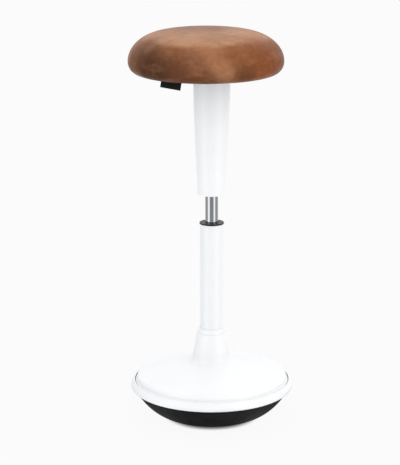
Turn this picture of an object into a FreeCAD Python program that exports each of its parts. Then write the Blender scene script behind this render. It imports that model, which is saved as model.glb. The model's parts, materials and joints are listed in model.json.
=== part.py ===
import FreeCAD, Part
import math
import os

# A wobble stool, in millimetres. +Z is up, and the origin is on the floor in the middle of the base,
# on the axis of the column. The camera side of the object faces -Y, and the seat's own front faces -X.
# The stool is drawn at full height; the seat slides down the column by the stroke.

# Fits
running_gap = 0.05
bond_gap = 0.1
soft_gap = 0.3

# Base: a rolled rim is its widest line, and the rubber sole ends just inside it
rim_radius = 175.5
sole_rim_inset = 3.5
sole_rim_height = 67.0

# Rolling sole, a rubber bowl: a flat patch, a ball-shaped dome, a corner and a flare up to the rim
sole_patch_radius = 45.0
sole_dome_blend = 4.0
sole_dome_radius = 500.0
sole_corner_radius = 18.0
sole_flare_angle = 46.0
sole_thickness = 4.0

# Base pan with its rolled rim
pan_wall = 3.0
rim_straight = 8.0
rim_corner = 3.0
rim_rise = 19.0
rim_lean = 6.0
rim_bead_corner = 1.3

# Base cover and its neck
cover_wall = 3.0
cover_fit = 0.35
cover_ledge_height = 16.0
cover_ledge_width = 3.5
cover_ledge_corner = 2.0
shoulder_rise = 28.5
shoulder_corner = 10.0
cover_rise = 30.5
neck_root_widening = 10.5
neck_root_corner = 25.0
neck_length = 64.0
neck_space = 8.0
neck_top_corner = 4.0

# Ring on top of the neck
neck_ring_width = 5.0
neck_ring_height = 10.0
neck_ring_corner = 2.5

# Ballast disc
ballast_inset = 1.5
ballast_clearance = 2.2
ballast_bore = 32.0
ballast_thickness = 16.0
ballast_corner = 3.0

# Flange and tapered socket that carry the column
flange_margin = 16.0
flange_thickness = 4.0
flange_hole_radius = 18.0
socket_wall = 5.0
socket_height = 66.0
socket_weld = 4.0

# Fasteners of the base
hub_bolt_count = 4
hub_bolt_circle = 48.0
hub_bolt_radius = 4.0
hub_bolt_head_radius = 6.5
hub_bolt_head_height = 5.0
insert_radius = 6.0
pan_boss_radius = 9.0
cover_screw_count = 6
cover_screw_first_angle = 30.0
cover_screw_inset = 38.0
cover_screw_radius = 2.0
cover_screw_head_radius = 4.0
cover_screw_head_height = 3.0
cover_boss_radius = 6.0
cover_boss_rise = 17.0
boss_floor = 3.0
insert_seat = 2.0
insert_floor = 2.0

# Outer tube of the gas lift
tube_radius = 25.0
tube_wall = 2.0
tube_stand = 8.0
tube_taper = 1.0
bottom_plate_depth = 6.0
bottom_plate_thickness = 4.0

# Guide bush with its thin collar, and the wiper ring in its mouth
bush_length = 85.0
bush_land = 18.0
bush_relief = 0.6
bush_corner = 1.5
collar_overhang = 1.3
collar_height = 3.0
collar_corner = 1.2
collar_dish = 0.6
collar_dish_width = 5.0
wiper_width = 3.0
wiper_height = 3.0
wiper_depth = 3.0

# Thrust bearing under the rod, which lets the seat swivel
race_radius = 13.5
race_thickness = 2.5
ball_count = 9
ball_radius = 2.5
ball_circle = 10.0
cage_thickness = 1.6
cage_inner_radius = 6.4
cage_outer_radius = 13.2

# Rod, piston, buffer and clip
rod_radius = 5.0
rod_chamfer = 0.5
rod_groove_depth = 1.0
rod_neck_end = 1.0
rod_end_length = 2.0
clip_thickness = 1.2
clip_radius = 8.5
clip_mouth_share = 0.8
clip_washer_radius = 10.0
clip_washer_thickness = 1.0
buffer_height = 14.0
buffer_radius = 12.0
buffer_lower_corner = 1.0
buffer_upper_corner = 3.0
piston_height = 10.0
piston_corner = 0.8
piston_seal_radius = 1.2

# Gas cylinder
cylinder_radius = 14.0
cylinder_wall = 1.6
cylinder_length = 405.6
stroke = 254.0
cylinder_tail = 8.6
cylinder_lip = 1.5
cylinder_lip_gap = 1.0
cylinder_taper = 1.0
cylinder_taper_length = 39.0
cylinder_top_corner = 0.6
cylinder_crimp = 2.0
cylinder_crimp_hole = 6.0
cylinder_valve_wall = 2.8
gland_height = 12.0
rod_seal_width = 3.0
rod_seal_height = 3.0
chamber_space = 1.4
chamber_wall = 1.0

# Valve at the top of the cylinder
valve_depth = 54.0
valve_body_corner = 1.0
valve_pin_radius = 2.5
valve_pin_length = 38.0
valve_pin_corner = 1.6
valve_pin_head_radius = 4.0
valve_pin_head_height = 3.0
valve_pin_head_corner = 0.6
valve_chamber_radius = 5.0
valve_chamber_spare = 2.0
valve_travel = 2.5

# Tapered sleeve under the seat
sleeve_length = 246.0
sleeve_lower_length = 163.0
sleeve_space = 5.5
sleeve_middle_widening = 7.1
sleeve_top_widening = 9.0
sleeve_belly_radius = 400.0
sleeve_wall = 2.5
sleeve_edge_corner = 1.0
sleeve_screw_inset = 9.5
sleeve_screw_angles = (30.0, 150.0, 270.0)
sleeve_screw_radius = 2.0
sleeve_screw_head_radius = 3.8
sleeve_screw_head_height = 2.4
sleeve_screw_length = 14.0
sleeve_boss_radius = 5.0
sleeve_boss_floor = 1.0

# Pressed seat plate with its taper socket
seat_offset = -12.0
plate_thickness = 2.5
plate_size = 150.0
plate_corner = 18.0
plate_bolt_inset = 15.0
plate_setback = 1.0
plate_depth = 14.7
plate_mouth_margin = 7.0
plate_pan_slope = 12.0
plate_mouth_land = 4.0
plate_press_corner = 3.0
seat_socket_wall = 6.0
seat_socket_length = 31.0
plate_bolt_radius = 3.0
plate_bolt_head_radius = 5.5
plate_bolt_head_height = 4.0
plate_washer_radius = 7.5
plate_washer_thickness = 1.2
tee_nut_barrel_radius = 4.2
tee_nut_barrel_length = 9.0
tee_nut_flange_radius = 9.0
tee_nut_flange_thickness = 1.2

# Release lever
lever_radius = 4.0
lever_rise = 10.0
lever_pivot_reach = 25.0
lever_inner_end = -2.0
lever_knee = 34.0
lever_drop = 21.0
lever_drop_end = 70.0
lever_outer_end = 150.0
lever_bend = 12.0
lever_pin_radius = 2.5
lever_ear_gap = 1.0
lever_ear_thickness = 3.0
lever_ear_width = 14.0
lever_ear_margin = 1.5
lever_slot_width = 11.0
lever_slot_inset = 8.0
lever_slot_length = 38.0
lever_gap = 0.3
grip_radius = 6.5
grip_length = 38.0
grip_waist = 1.0
grip_belly_radius = 120.0
grip_mouth_corner = 1.0
grip_end_corner = 3.5
grip_end_wall = 4.0

# Seat board, cushion, leather and the pieces under them
seat_radius = 164.0
cushion_height = 87.8
cushion_widest_rise = 25.5
cushion_undercut = 33.0
seat_crest_radius = 78.0
seat_dish = 7.0
leather_thickness = 1.8
leather_tuck = 12.0
board_thickness = 12.0
board_edge_gap = 0.6
dust_cover_thickness = 0.8

# Bare woven tab sewn under the lower edge of the cover, leaning out and hanging a little askew
tab_width = 50.0
tab_drop = 15.0
tab_thickness = 1.2
tab_corner = 0.8
tab_inset = 2.0
tab_angle = -33.0
tab_lean = 14.0
tab_twist = 3.0

# Places in the base, worked out from the sizes above. The flare runs down from the rim to the dome.
sole_rim_radius = rim_radius - sole_rim_inset
sole_dome_start = sole_patch_radius + sole_dome_blend
sole_flare = math.radians(sole_flare_angle)
dome_start_slope = math.asin(sole_dome_start / sole_dome_radius)
dome_start_height = sole_dome_blend * math.tan(dome_start_slope)
dome_centre_height = dome_start_height + sole_dome_radius * math.cos(dome_start_slope)
rim_below_centre = dome_centre_height - sole_rim_height
rim_along_flare = sole_rim_radius * math.cos(sole_flare) - rim_below_centre * math.sin(sole_flare)
rim_outside_dome = math.hypot(sole_rim_radius, rim_below_centre) ** 2 - sole_dome_radius ** 2
flare_length = rim_along_flare + math.sqrt(rim_along_flare ** 2 - rim_outside_dome)
flare_foot_radius = sole_rim_radius - flare_length * math.cos(sole_flare)
flare_foot_slope = math.asin(flare_foot_radius / sole_dome_radius)
sole_dome_end = flare_foot_radius - sole_corner_radius * math.tan((sole_flare - flare_foot_slope) / 2)
rim_top_radius = rim_radius - rim_lean
rim_top_height = sole_rim_height + rim_rise
cover_skirt_radius = rim_top_radius - pan_wall - cover_fit
cover_shoulder_radius = cover_skirt_radius - cover_ledge_width
shoulder_height = sole_rim_height + shoulder_rise
neck_root_height = shoulder_height + cover_rise
neck_top_height = neck_root_height + neck_length
neck_top_radius = tube_radius + neck_space
neck_root_radius = neck_top_radius + neck_root_widening
pan_floor_top = sole_thickness + bond_gap + pan_wall
insert_bottom = pan_floor_top + insert_seat
cover_screw_circle = sole_rim_radius - cover_screw_inset
cover_boss_split = sole_rim_height + cover_boss_rise
cover_screw_seat = cover_boss_split - boss_floor
ballast_radius = sole_dome_end - ballast_inset
dome_rise_at_ballast = sole_dome_radius - math.sqrt(sole_dome_radius ** 2 - ballast_radius ** 2)
ballast_bottom = pan_floor_top + dome_rise_at_ballast + ballast_clearance
ballast_top = ballast_bottom + ballast_thickness
flange_radius = hub_bolt_circle + flange_margin
flange_top = ballast_top + flange_thickness
socket_radius = tube_radius + socket_wall
socket_top = flange_top + socket_height

# Places in the column, drawn at full height: the cylinder's tail is then still inside the bush
tube_bottom = flange_top + tube_stand
tube_inner_radius = tube_radius - tube_wall
tube_taper_end = tube_radius - tube_taper
bottom_plate_underside = tube_bottom + bottom_plate_depth
bottom_plate_top = bottom_plate_underside + bottom_plate_thickness
lower_race_top = bottom_plate_top + race_thickness
ball_centre = lower_race_top + running_gap + ball_radius
upper_race_bottom = ball_centre + ball_radius + running_gap
upper_race_top = upper_race_bottom + race_thickness
buffer_top = upper_race_top + buffer_height
rod_groove_radius = rod_radius - rod_groove_depth
clip_washer_bottom = bottom_plate_underside - clip_washer_thickness
clip_bottom = clip_washer_bottom - clip_thickness
rod_bottom = clip_bottom - rod_end_length
cylinder_bottom = buffer_top + soft_gap + stroke
bush_bottom = cylinder_bottom + cylinder_tail
tube_top = bush_bottom + bush_length
collar_radius = tube_radius + collar_overhang
collar_top = tube_top + collar_height
wiper_radius = cylinder_radius + wiper_width
wiper_groove_top = tube_top - wiper_depth
wiper_groove_bottom = wiper_groove_top - wiper_height
cylinder_top = cylinder_bottom + cylinder_length
cylinder_taper_start = cylinder_top - cylinder_taper_length
cylinder_taper_end = cylinder_radius - cylinder_taper
cylinder_inner_radius = cylinder_radius - cylinder_wall
chamber_radius = cylinder_inner_radius - chamber_space
gland_bottom = cylinder_bottom + cylinder_lip
gland_top = gland_bottom + gland_height
rod_seal_radius = rod_radius + rod_seal_width
rod_seal_bottom = gland_bottom + (gland_height - rod_seal_height) / 2
piston_bottom = gland_top + soft_gap
piston_top = piston_bottom + piston_height
piston_wall_radius = chamber_radius - chamber_wall - running_gap
piston_seal_middle = piston_bottom + piston_height / 2
valve_seat_height = cylinder_top - valve_depth
valve_body_radius = cylinder_radius - cylinder_valve_wall - running_gap

# Places under the seat and in it
plate_floor_underside = cylinder_top - plate_setback
plate_floor_top = plate_floor_underside + plate_thickness
plate_top = plate_floor_underside + plate_depth
plate_flange_underside = plate_top - plate_thickness
plate_mouth_radius = plate_size / 2 + seat_offset - plate_mouth_margin
plate_floor_radius = plate_mouth_radius - plate_pan_slope
seat_socket_radius = cylinder_radius + seat_socket_wall
sleeve_bottom = plate_floor_underside - sleeve_length
sleeve_middle_height = sleeve_bottom + sleeve_lower_length
sleeve_bottom_radius = tube_radius + sleeve_space
sleeve_middle_radius = sleeve_bottom_radius + sleeve_middle_widening
sleeve_top_radius = sleeve_bottom_radius + sleeve_top_widening
sleeve_screw_circle = sleeve_top_radius - sleeve_screw_inset
lever_height = plate_floor_underside + lever_rise
lever_low_height = lever_height - lever_drop
lever_slot_start = plate_floor_radius - lever_slot_inset
valve_pin_top = lever_height - lever_radius - lever_gap
valve_pin_bottom = valve_pin_top - valve_pin_length
dust_cover_bottom = plate_top
board_bottom = dust_cover_bottom + dust_cover_thickness
board_top = board_bottom + board_thickness
seat_bottom_height = board_bottom - bond_gap - leather_thickness
seat_widest_height = seat_bottom_height + cushion_widest_rise
seat_crest_height = seat_bottom_height + cushion_height
seat_bottom_radius = seat_radius - cushion_undercut
board_radius = seat_bottom_radius - board_edge_gap
tab_radius = seat_bottom_radius - tab_inset


def vector(radius, height):
    return FreeCAD.Vector(radius, 0, height)


def corner_radius(point):
    return point[2] if len(point) > 2 else 0.0


def path_edges(points):
    """Edges through (radius, height, corner radius) points in the XZ plane, each corner an arc."""
    edges = []
    start = vector(points[0][0], points[0][1])
    for before, corner, after in zip(points, points[1:], points[2:]):
        apex = vector(corner[0], corner[1])
        rounding = corner_radius(corner)
        if rounding == 0.0:
            edges.append(Part.LineSegment(start, apex).toShape())
            start = apex
            continue
        back = (vector(before[0], before[1]) - apex).normalize()
        ahead = (vector(after[0], after[1]) - apex).normalize()
        half_angle = back.getAngle(ahead) / 2
        reach = rounding / math.tan(half_angle)
        first = apex + back * reach
        last = apex + ahead * reach
        middle = apex + (back + ahead).normalize() * (rounding / math.sin(half_angle) - rounding)
        if (first - start).Length > 1e-6:
            edges.append(Part.LineSegment(start, first).toShape())
        edges.append(Part.Arc(first, middle, last).toShape())
        start = last
    edges.append(Part.LineSegment(start, vector(points[-1][0], points[-1][1])).toShape())
    return edges


def revolved(points):
    """A solid of revolution about Z from a closed outline; its last point joins the first."""
    outline = Part.Wire(path_edges(points + points[:1]))
    return revolved_wire(outline)


def revolved_wire(outline):
    solid = Part.Face(outline).revolve(FreeCAD.Vector(0, 0, 0), FreeCAD.Vector(0, 0, 1), 360)
    if solid.Volume < 0:
        solid.reverse()
    return solid


def crossing(first_line, second_line):
    """Where two straight lines, each a pair of (radius, height) points, meet."""
    (r1, z1), (r2, z2) = first_line
    (r3, z3), (r4, z4) = second_line
    run_first = (r2 - r1, z2 - z1)
    run_second = (r4 - r3, z4 - z3)
    across = run_first[0] * run_second[1] - run_first[1] * run_second[0]
    along = ((r3 - r1) * run_second[1] - (z3 - z1) * run_second[0]) / across
    return (r1 + along * run_first[0], z1 + along * run_first[1])


def parallel_path(points, distance):
    """The same path moved to its left by a distance, with its corners still concentric."""
    lines = []
    turns = []
    for start, end in zip(points, points[1:]):
        run = (end[0] - start[0], end[1] - start[1])
        length = math.hypot(run[0], run[1])
        shift = (-run[1] / length * distance, run[0] / length * distance)
        lines.append(((start[0] + shift[0], start[1] + shift[1]), (end[0] + shift[0], end[1] + shift[1])))
        turns.append(math.atan2(run[1], run[0]))
    moved = [lines[0][0]]
    for index in range(1, len(points) - 1):
        meeting = crossing(lines[index - 1], lines[index])
        rounding = corner_radius(points[index])
        turn = math.sin(turns[index] - turns[index - 1])
        if rounding > 0:
            rounding = max(rounding - math.copysign(distance, turn), 0.0)
        moved.append((meeting[0], meeting[1], rounding))
    moved.append(lines[-1][1])
    return moved


def ending_at_height(points, height):
    """The same path with its last straight stretch made longer or shorter to end at a height."""
    before = points[-2]
    last = points[-1]
    share = (height - before[1]) / (last[1] - before[1])
    return points[:-1] + [(before[0] + share * (last[0] - before[0]), height)]


def tube(inner, outer, bottom, top):
    body = Part.makeCylinder(outer, top - bottom, FreeCAD.Vector(0, 0, bottom))
    return body.cut(Part.makeCylinder(inner, top - bottom, FreeCAD.Vector(0, 0, bottom)))


def rod_between(radius, bottom, top, place=(0.0, 0.0)):
    return Part.makeCylinder(radius, top - bottom, FreeCAD.Vector(place[0], place[1], bottom))


def hexagon(across, bottom, top, place=(0.0, 0.0)):
    """A hexagonal head, with its size given from the middle to a corner."""
    corners = [FreeCAD.Vector(x, y, bottom) for x, y in circle_places(6, across)]
    outline = Part.makePolygon(corners + corners[:1])
    outline.translate(FreeCAD.Vector(place[0], place[1], 0))
    return Part.Face(outline).extrude(FreeCAD.Vector(0, 0, top - bottom))


def circle_places(count, circle, start=0.0):
    places = []
    for step in range(count):
        angle = math.radians(start + 360.0 * step / count)
        places.append((circle * math.cos(angle), circle * math.sin(angle)))
    return places


def sole_path():
    """The sole's outer outline from the axis to its rim: flat patch, ball-shaped dome, corner and flare."""
    end_slope = math.asin(sole_dome_end / sole_dome_radius)
    reach = sole_dome_radius * math.tan((end_slope - dome_start_slope) / 2)
    dome_apex = (
        sole_dome_start + reach * math.cos(dome_start_slope),
        dome_start_height + reach * math.sin(dome_start_slope),
    )
    dome_ahead = (dome_apex[0] + math.cos(end_slope), dome_apex[1] + math.sin(end_slope))
    rim = (sole_rim_radius, sole_rim_height)
    flare_below = (rim[0] - math.cos(sole_flare), rim[1] - math.sin(sole_flare))
    corner = crossing((dome_apex, dome_ahead), (flare_below, rim))
    return [
        (0.0, 0.0),
        (sole_patch_radius, 0.0),
        (dome_apex[0], dome_apex[1], sole_dome_radius),
        (corner[0], corner[1], sole_corner_radius),
        rim,
    ]


def pan_path():
    """The pan's outer outline: the bowl inside the sole, then the flange and the rolled rim."""
    flange_height = sole_rim_height + bond_gap
    bowl = ending_at_height(parallel_path(sole_path(), sole_thickness + bond_gap), flange_height)
    return bowl + [
        (rim_radius, flange_height, rim_corner),
        (rim_radius, flange_height + rim_straight, 2 * rim_corner),
        (rim_top_radius, rim_top_height),
    ]


def cover_path():
    """The cover's outer outline: skirt inside the rim, sloping ledge, shoulder, cone and neck."""
    skirt_bottom = sole_rim_height + bond_gap + pan_wall + bond_gap
    ledge_bottom = sole_rim_height + cover_ledge_height
    return [
        (cover_skirt_radius, skirt_bottom),
        (cover_skirt_radius, ledge_bottom),
        (cover_shoulder_radius, ledge_bottom + cover_ledge_width, cover_ledge_corner),
        (cover_shoulder_radius, shoulder_height, shoulder_corner),
        (neck_root_radius, neck_root_height, neck_root_corner),
        (neck_top_radius, neck_top_height, neck_top_corner),
        (tube_radius + cover_fit, neck_top_height),
    ]


def skin(points, wall, end_corner=0.0):
    """A shell of even wall on the left of its outline, with its far edge rounded over."""
    inner = parallel_path(points, wall)
    outer_end = (points[-1][0], points[-1][1], end_corner)
    inner_end = (inner[-1][0], inner[-1][1], end_corner)
    return revolved(points[:-1] + [outer_end, inner_end] + inner[-2::-1])


def filled_below(points, ceiling):
    """Everything inside an outline that starts on the axis, up to a height above its end."""
    end = points[-1]
    return revolved(points + [(end[0], ceiling), (0.0, ceiling)])


def make_rocker_sole():
    outer = sole_path()
    inner = ending_at_height(parallel_path(outer, sole_thickness), sole_rim_height)
    return revolved(outer + inner[::-1])


def make_base_pan():
    """The pan: bowl, flange and rolled rim, with bosses for the hub bolts and the cover screws."""
    pan = skin(pan_path(), pan_wall, rim_bead_corner)
    inside_bowl = filled_below(parallel_path(pan_path()[:5], pan_wall / 2), rim_top_height)
    hub_places = circle_places(hub_bolt_count, hub_bolt_circle)
    cover_places = cover_screw_places()
    for place in hub_places:
        pan = pan.fuse(rod_between(pan_boss_radius, pan_floor_top - pan_wall / 3, ballast_bottom, place))
    for place in cover_places:
        boss = rod_between(cover_boss_radius, 0.0, cover_boss_split, place)
        pan = pan.fuse(boss.common(inside_bowl))
    for place in hub_places:
        pan = pan.cut(rod_between(insert_radius + running_gap, insert_bottom, ballast_bottom, place))
    for place in cover_places:
        pan = pan.cut(rod_between(cover_screw_head_radius + cover_fit, 0.0, cover_screw_seat, place))
        pan = pan.cut(rod_between(cover_screw_radius + cover_fit, 0.0, cover_boss_split, place))
    return pan


def make_pan_inserts():
    """Brass inserts in the pan's bosses, with blind threaded bores for the hub bolts."""
    inserts = []
    for place in circle_places(hub_bolt_count, hub_bolt_circle):
        insert = rod_between(insert_radius, insert_bottom, ballast_bottom, place)
        bore = rod_between(hub_bolt_radius + running_gap, insert_bottom + insert_floor, ballast_bottom, place)
        inserts.append(insert.cut(bore))
    return Part.makeCompound(inserts)


def cover_screw_places():
    return circle_places(cover_screw_count, cover_screw_circle, cover_screw_first_angle)


def make_base_cover():
    cover = skin(cover_path(), cover_wall)
    middle_path = parallel_path(cover_path(), cover_wall / 2)
    end = middle_path[-1]
    under_cover = revolved(middle_path + [(0.0, end[1]), (0.0, middle_path[0][1])])
    for place in cover_screw_places():
        boss = rod_between(cover_boss_radius, cover_boss_split + bond_gap, neck_root_height, place)
        cover = cover.fuse(boss.common(under_cover))
    for place in cover_screw_places():
        pilot_top = cover_boss_split + cover_screw_pilot()
        cover = cover.cut(rod_between(cover_screw_radius + running_gap, cover_boss_split, pilot_top, place))
    return cover.removeSplitter()


def cover_screw_pilot():
    """Depth of a screw in the cover's boss, short of the show face."""
    slope = cover_rise / (cover_shoulder_radius - neck_root_radius)
    face = shoulder_height + slope * (cover_shoulder_radius - cover_screw_circle - cover_boss_radius)
    return face - cover_wall - cover_boss_split


def make_cover_screws():
    screws = []
    seat = cover_screw_seat
    for place in cover_screw_places():
        head = rod_between(cover_screw_head_radius, seat - cover_screw_head_height, seat, place)
        shank_top = cover_boss_split + cover_screw_pilot() - bond_gap
        screws.append(head.fuse(rod_between(cover_screw_radius, seat, shank_top, place)))
    return Part.makeCompound(screws)


def make_neck_ring():
    bottom = neck_top_height + bond_gap
    top = neck_top_height + neck_ring_height
    inner = tube_radius + running_gap
    outer = tube_radius + neck_ring_width
    return revolved([
        (inner, bottom),
        (outer, bottom),
        (outer, top, neck_ring_corner),
        (inner, top),
    ])


def make_ballast_disc():
    disc = revolved([
        (ballast_bore, ballast_bottom),
        (ballast_radius, ballast_bottom, ballast_corner),
        (ballast_radius, ballast_top, ballast_corner),
        (ballast_bore, ballast_top),
    ])
    for place in circle_places(hub_bolt_count, hub_bolt_circle):
        disc = disc.cut(rod_between(hub_bolt_radius + cover_fit, ballast_bottom, ballast_top, place))
    return disc


def tube_outer_radius(height):
    """Radius of the column's outer tube, which tapers to its foot inside the socket."""
    if height >= socket_top:
        return tube_radius
    share = (socket_top - height) / (socket_top - tube_bottom)
    return tube_radius - share * (tube_radius - tube_taper_end)


def make_hub_socket():
    """A round flange with a tapered socket welded on it and a fillet of weld between them."""
    hub = revolved([
        (flange_hole_radius, ballast_top),
        (flange_radius, ballast_top),
        (flange_radius, flange_top),
        (socket_radius + socket_weld, flange_top),
        (socket_radius, flange_top + socket_weld),
        (socket_radius, socket_top),
        (tube_radius + running_gap, socket_top),
        (tube_taper_end + running_gap, tube_bottom),
        (flange_hole_radius, flange_top),
    ])
    for place in circle_places(hub_bolt_count, hub_bolt_circle):
        hub = hub.cut(rod_between(hub_bolt_radius + cover_fit, ballast_top, flange_top, place))
    return hub


def make_hub_bolts():
    bolts = []
    shank_bottom = insert_bottom + insert_floor + bond_gap
    for place in circle_places(hub_bolt_count, hub_bolt_circle):
        head = hexagon(hub_bolt_head_radius, flange_top, flange_top + hub_bolt_head_height, place)
        bolts.append(head.fuse(rod_between(hub_bolt_radius, shank_bottom, flange_top, place)))
    return Part.makeCompound(bolts)


def make_outer_tube():
    return revolved([
        (tube_taper_end - tube_wall, tube_bottom),
        (tube_taper_end, tube_bottom),
        (tube_radius, socket_top),
        (tube_radius, tube_top),
        (tube_inner_radius, tube_top),
        (tube_inner_radius, socket_top),
    ])


def make_tube_bottom_plate():
    outer_bottom = tube_outer_radius(bottom_plate_underside) - tube_wall - running_gap
    outer_top = tube_outer_radius(bottom_plate_top) - tube_wall - running_gap
    return revolved([
        (rod_radius + running_gap, bottom_plate_underside),
        (outer_bottom, bottom_plate_underside),
        (outer_top, bottom_plate_top),
        (rod_radius + running_gap, bottom_plate_top),
    ])


def make_guide_bush():
    """The long plastic bush in the tube's mouth, with the thin dished collar that shows above it."""
    bore = cylinder_radius + running_gap
    relief = bore + bush_relief
    wall = tube_inner_radius - running_gap
    dish_height = collar_top - collar_dish
    return revolved([
        (bore, bush_bottom),
        (wall, bush_bottom, bush_corner),
        (wall, tube_top + bond_gap),
        (collar_radius, tube_top + bond_gap),
        (collar_radius, collar_top, collar_corner),
        (collar_radius - collar_dish_width, dish_height),
        (bore, dish_height),
        (bore, wiper_groove_top),
        (wiper_radius, wiper_groove_top),
        (wiper_radius, wiper_groove_bottom),
        (bore, wiper_groove_bottom),
        (bore, tube_top - bush_land),
        (relief, tube_top - bush_land),
        (relief, bush_bottom + bush_land),
        (bore, bush_bottom + bush_land),
    ])


def make_wiper_ring():
    bottom = wiper_groove_bottom + running_gap
    top = wiper_groove_top - running_gap
    return tube(cylinder_radius + running_gap, wiper_radius - running_gap, bottom, top)


def make_bearing_lower_race():
    return tube(rod_radius + running_gap, race_radius, bottom_plate_top, lower_race_top)


def make_bearing_upper_race():
    return tube(rod_radius + running_gap, race_radius, upper_race_bottom, upper_race_top)


def make_bearing_cage():
    bottom = ball_centre - cage_thickness / 2
    cage = tube(cage_inner_radius, cage_outer_radius, bottom, bottom + cage_thickness)
    for place in circle_places(ball_count, ball_circle):
        cage = cage.cut(rod_between(ball_radius + running_gap, lower_race_top, upper_race_bottom, place))
    return cage


def make_bearing_balls():
    balls = []
    for place in circle_places(ball_count, ball_circle):
        balls.append(Part.makeSphere(ball_radius, FreeCAD.Vector(place[0], place[1], ball_centre)))
    return Part.makeCompound(balls)


def make_rubber_buffer():
    return revolved([
        (rod_radius + running_gap, upper_race_top),
        (buffer_radius, upper_race_top, buffer_lower_corner),
        (buffer_radius, buffer_top, buffer_upper_corner),
        (rod_radius + running_gap, buffer_top),
    ])


def make_piston_rod():
    """The polished rod: a clip groove near its foot, and a thinner neck that the piston sits on."""
    neck_end = piston_top + rod_neck_end
    return revolved([
        (0.0, rod_bottom),
        (rod_radius, rod_bottom, rod_chamfer),
        (rod_radius, clip_bottom),
        (rod_groove_radius, clip_bottom),
        (rod_groove_radius, clip_washer_bottom),
        (rod_radius, clip_washer_bottom),
        (rod_radius, piston_bottom),
        (rod_groove_radius, piston_bottom),
        (rod_groove_radius, neck_end),
        (0.0, neck_end),
    ])


def make_clip_washer():
    return tube(rod_radius + running_gap, clip_washer_radius, clip_washer_bottom, bottom_plate_underside)


def make_retaining_clip():
    """An E-shaped clip in the rod's groove, open to one side."""
    clip = tube(rod_groove_radius + running_gap, clip_radius, clip_bottom + running_gap, clip_washer_bottom)
    half_mouth = rod_groove_radius * clip_mouth_share
    mouth = Part.makeBox(clip_radius, 2 * half_mouth, clip_thickness,
                         FreeCAD.Vector(0, -half_mouth, clip_bottom))
    return clip.cut(mouth)


def make_piston():
    """A disc on the rod's neck, with a groove round it for the seal."""
    bore = rod_groove_radius + running_gap
    groove = piston_wall_radius - piston_seal_radius
    return revolved([
        (bore, piston_bottom),
        (piston_wall_radius, piston_bottom, piston_corner),
        (piston_wall_radius, piston_seal_middle - piston_seal_radius),
        (groove, piston_seal_middle - piston_seal_radius),
        (groove, piston_seal_middle + piston_seal_radius),
        (piston_wall_radius, piston_seal_middle + piston_seal_radius),
        (piston_wall_radius, piston_top, piston_corner),
        (bore, piston_top),
    ])


def make_piston_seal():
    inner = piston_wall_radius - piston_seal_radius + running_gap
    half = piston_seal_radius - running_gap
    return tube(inner, piston_wall_radius, piston_seal_middle - half, piston_seal_middle + half)


def cylinder_outer_radius(height):
    if height <= cylinder_taper_start:
        return cylinder_radius
    share = (height - cylinder_taper_start) / (cylinder_top - cylinder_taper_start)
    return cylinder_radius - share * (cylinder_radius - cylinder_taper_end)


def make_gas_cylinder():
    """The chromed outer cylinder: crimped at both ends, stepped for the valve, tapered for the seat."""
    lip_hole = rod_radius + cylinder_lip_gap
    return revolved([
        (lip_hole, cylinder_bottom),
        (cylinder_radius, cylinder_bottom, cylinder_lip),
        (cylinder_radius, cylinder_taper_start),
        (cylinder_taper_end, cylinder_top, cylinder_top_corner),
        (cylinder_crimp_hole, cylinder_top),
        (cylinder_crimp_hole, cylinder_top - cylinder_crimp),
        (valve_body_radius + running_gap, cylinder_top - cylinder_crimp),
        (valve_body_radius + running_gap, valve_seat_height),
        (cylinder_inner_radius, valve_seat_height),
        (cylinder_inner_radius, gland_bottom),
        (lip_hole, gland_bottom),
    ])


def make_pressure_tube():
    return tube(chamber_radius - chamber_wall, chamber_radius, gland_top, valve_seat_height - bond_gap)


def make_cylinder_gland():
    bore = rod_radius + running_gap
    rod_seal_top = rod_seal_bottom + rod_seal_height
    return revolved([
        (bore, gland_bottom),
        (cylinder_inner_radius - running_gap, gland_bottom),
        (cylinder_inner_radius - running_gap, gland_top),
        (bore, gland_top),
        (bore, rod_seal_top),
        (rod_seal_radius, rod_seal_top),
        (rod_seal_radius, rod_seal_bottom),
        (bore, rod_seal_bottom),
    ])


def make_rod_seal():
    bottom = rod_seal_bottom + running_gap
    top = rod_seal_bottom + rod_seal_height - running_gap
    return tube(rod_radius + running_gap, rod_seal_radius - running_gap, bottom, top)


def make_valve_body():
    top = cylinder_top - cylinder_crimp - running_gap
    pin_bore = valve_pin_radius + running_gap
    chamber_bottom = valve_pin_bottom - valve_travel - valve_chamber_spare
    chamber_top = valve_pin_bottom + valve_pin_head_height + bond_gap
    return revolved([
        (0.0, valve_seat_height),
        (valve_body_radius, valve_seat_height),
        (valve_body_radius, top, valve_body_corner),
        (pin_bore, top),
        (pin_bore, chamber_top),
        (valve_chamber_radius, chamber_top),
        (valve_chamber_radius, chamber_bottom),
        (0.0, chamber_bottom),
    ])


def make_valve_pin():
    head_top = valve_pin_bottom + valve_pin_head_height
    return revolved([
        (0.0, valve_pin_bottom),
        (valve_pin_head_radius, valve_pin_bottom, valve_pin_head_corner),
        (valve_pin_head_radius, head_top),
        (valve_pin_radius, head_top),
        (valve_pin_radius, valve_pin_top, valve_pin_corner),
        (0.0, valve_pin_top),
    ])


def sleeve_path():
    """The sleeve's outer outline from its open lower edge up to its flat top."""
    return [
        (sleeve_bottom_radius, sleeve_bottom),
        (sleeve_middle_radius, sleeve_middle_height, sleeve_belly_radius),
        (sleeve_top_radius, plate_floor_underside, sleeve_edge_corner),
        (seat_socket_radius + cover_fit, plate_floor_underside),
    ]


def sleeve_places():
    places = []
    for degrees in sleeve_screw_angles:
        angle = math.radians(degrees)
        places.append((sleeve_screw_circle * math.cos(angle), sleeve_screw_circle * math.sin(angle)))
    return places


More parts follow.
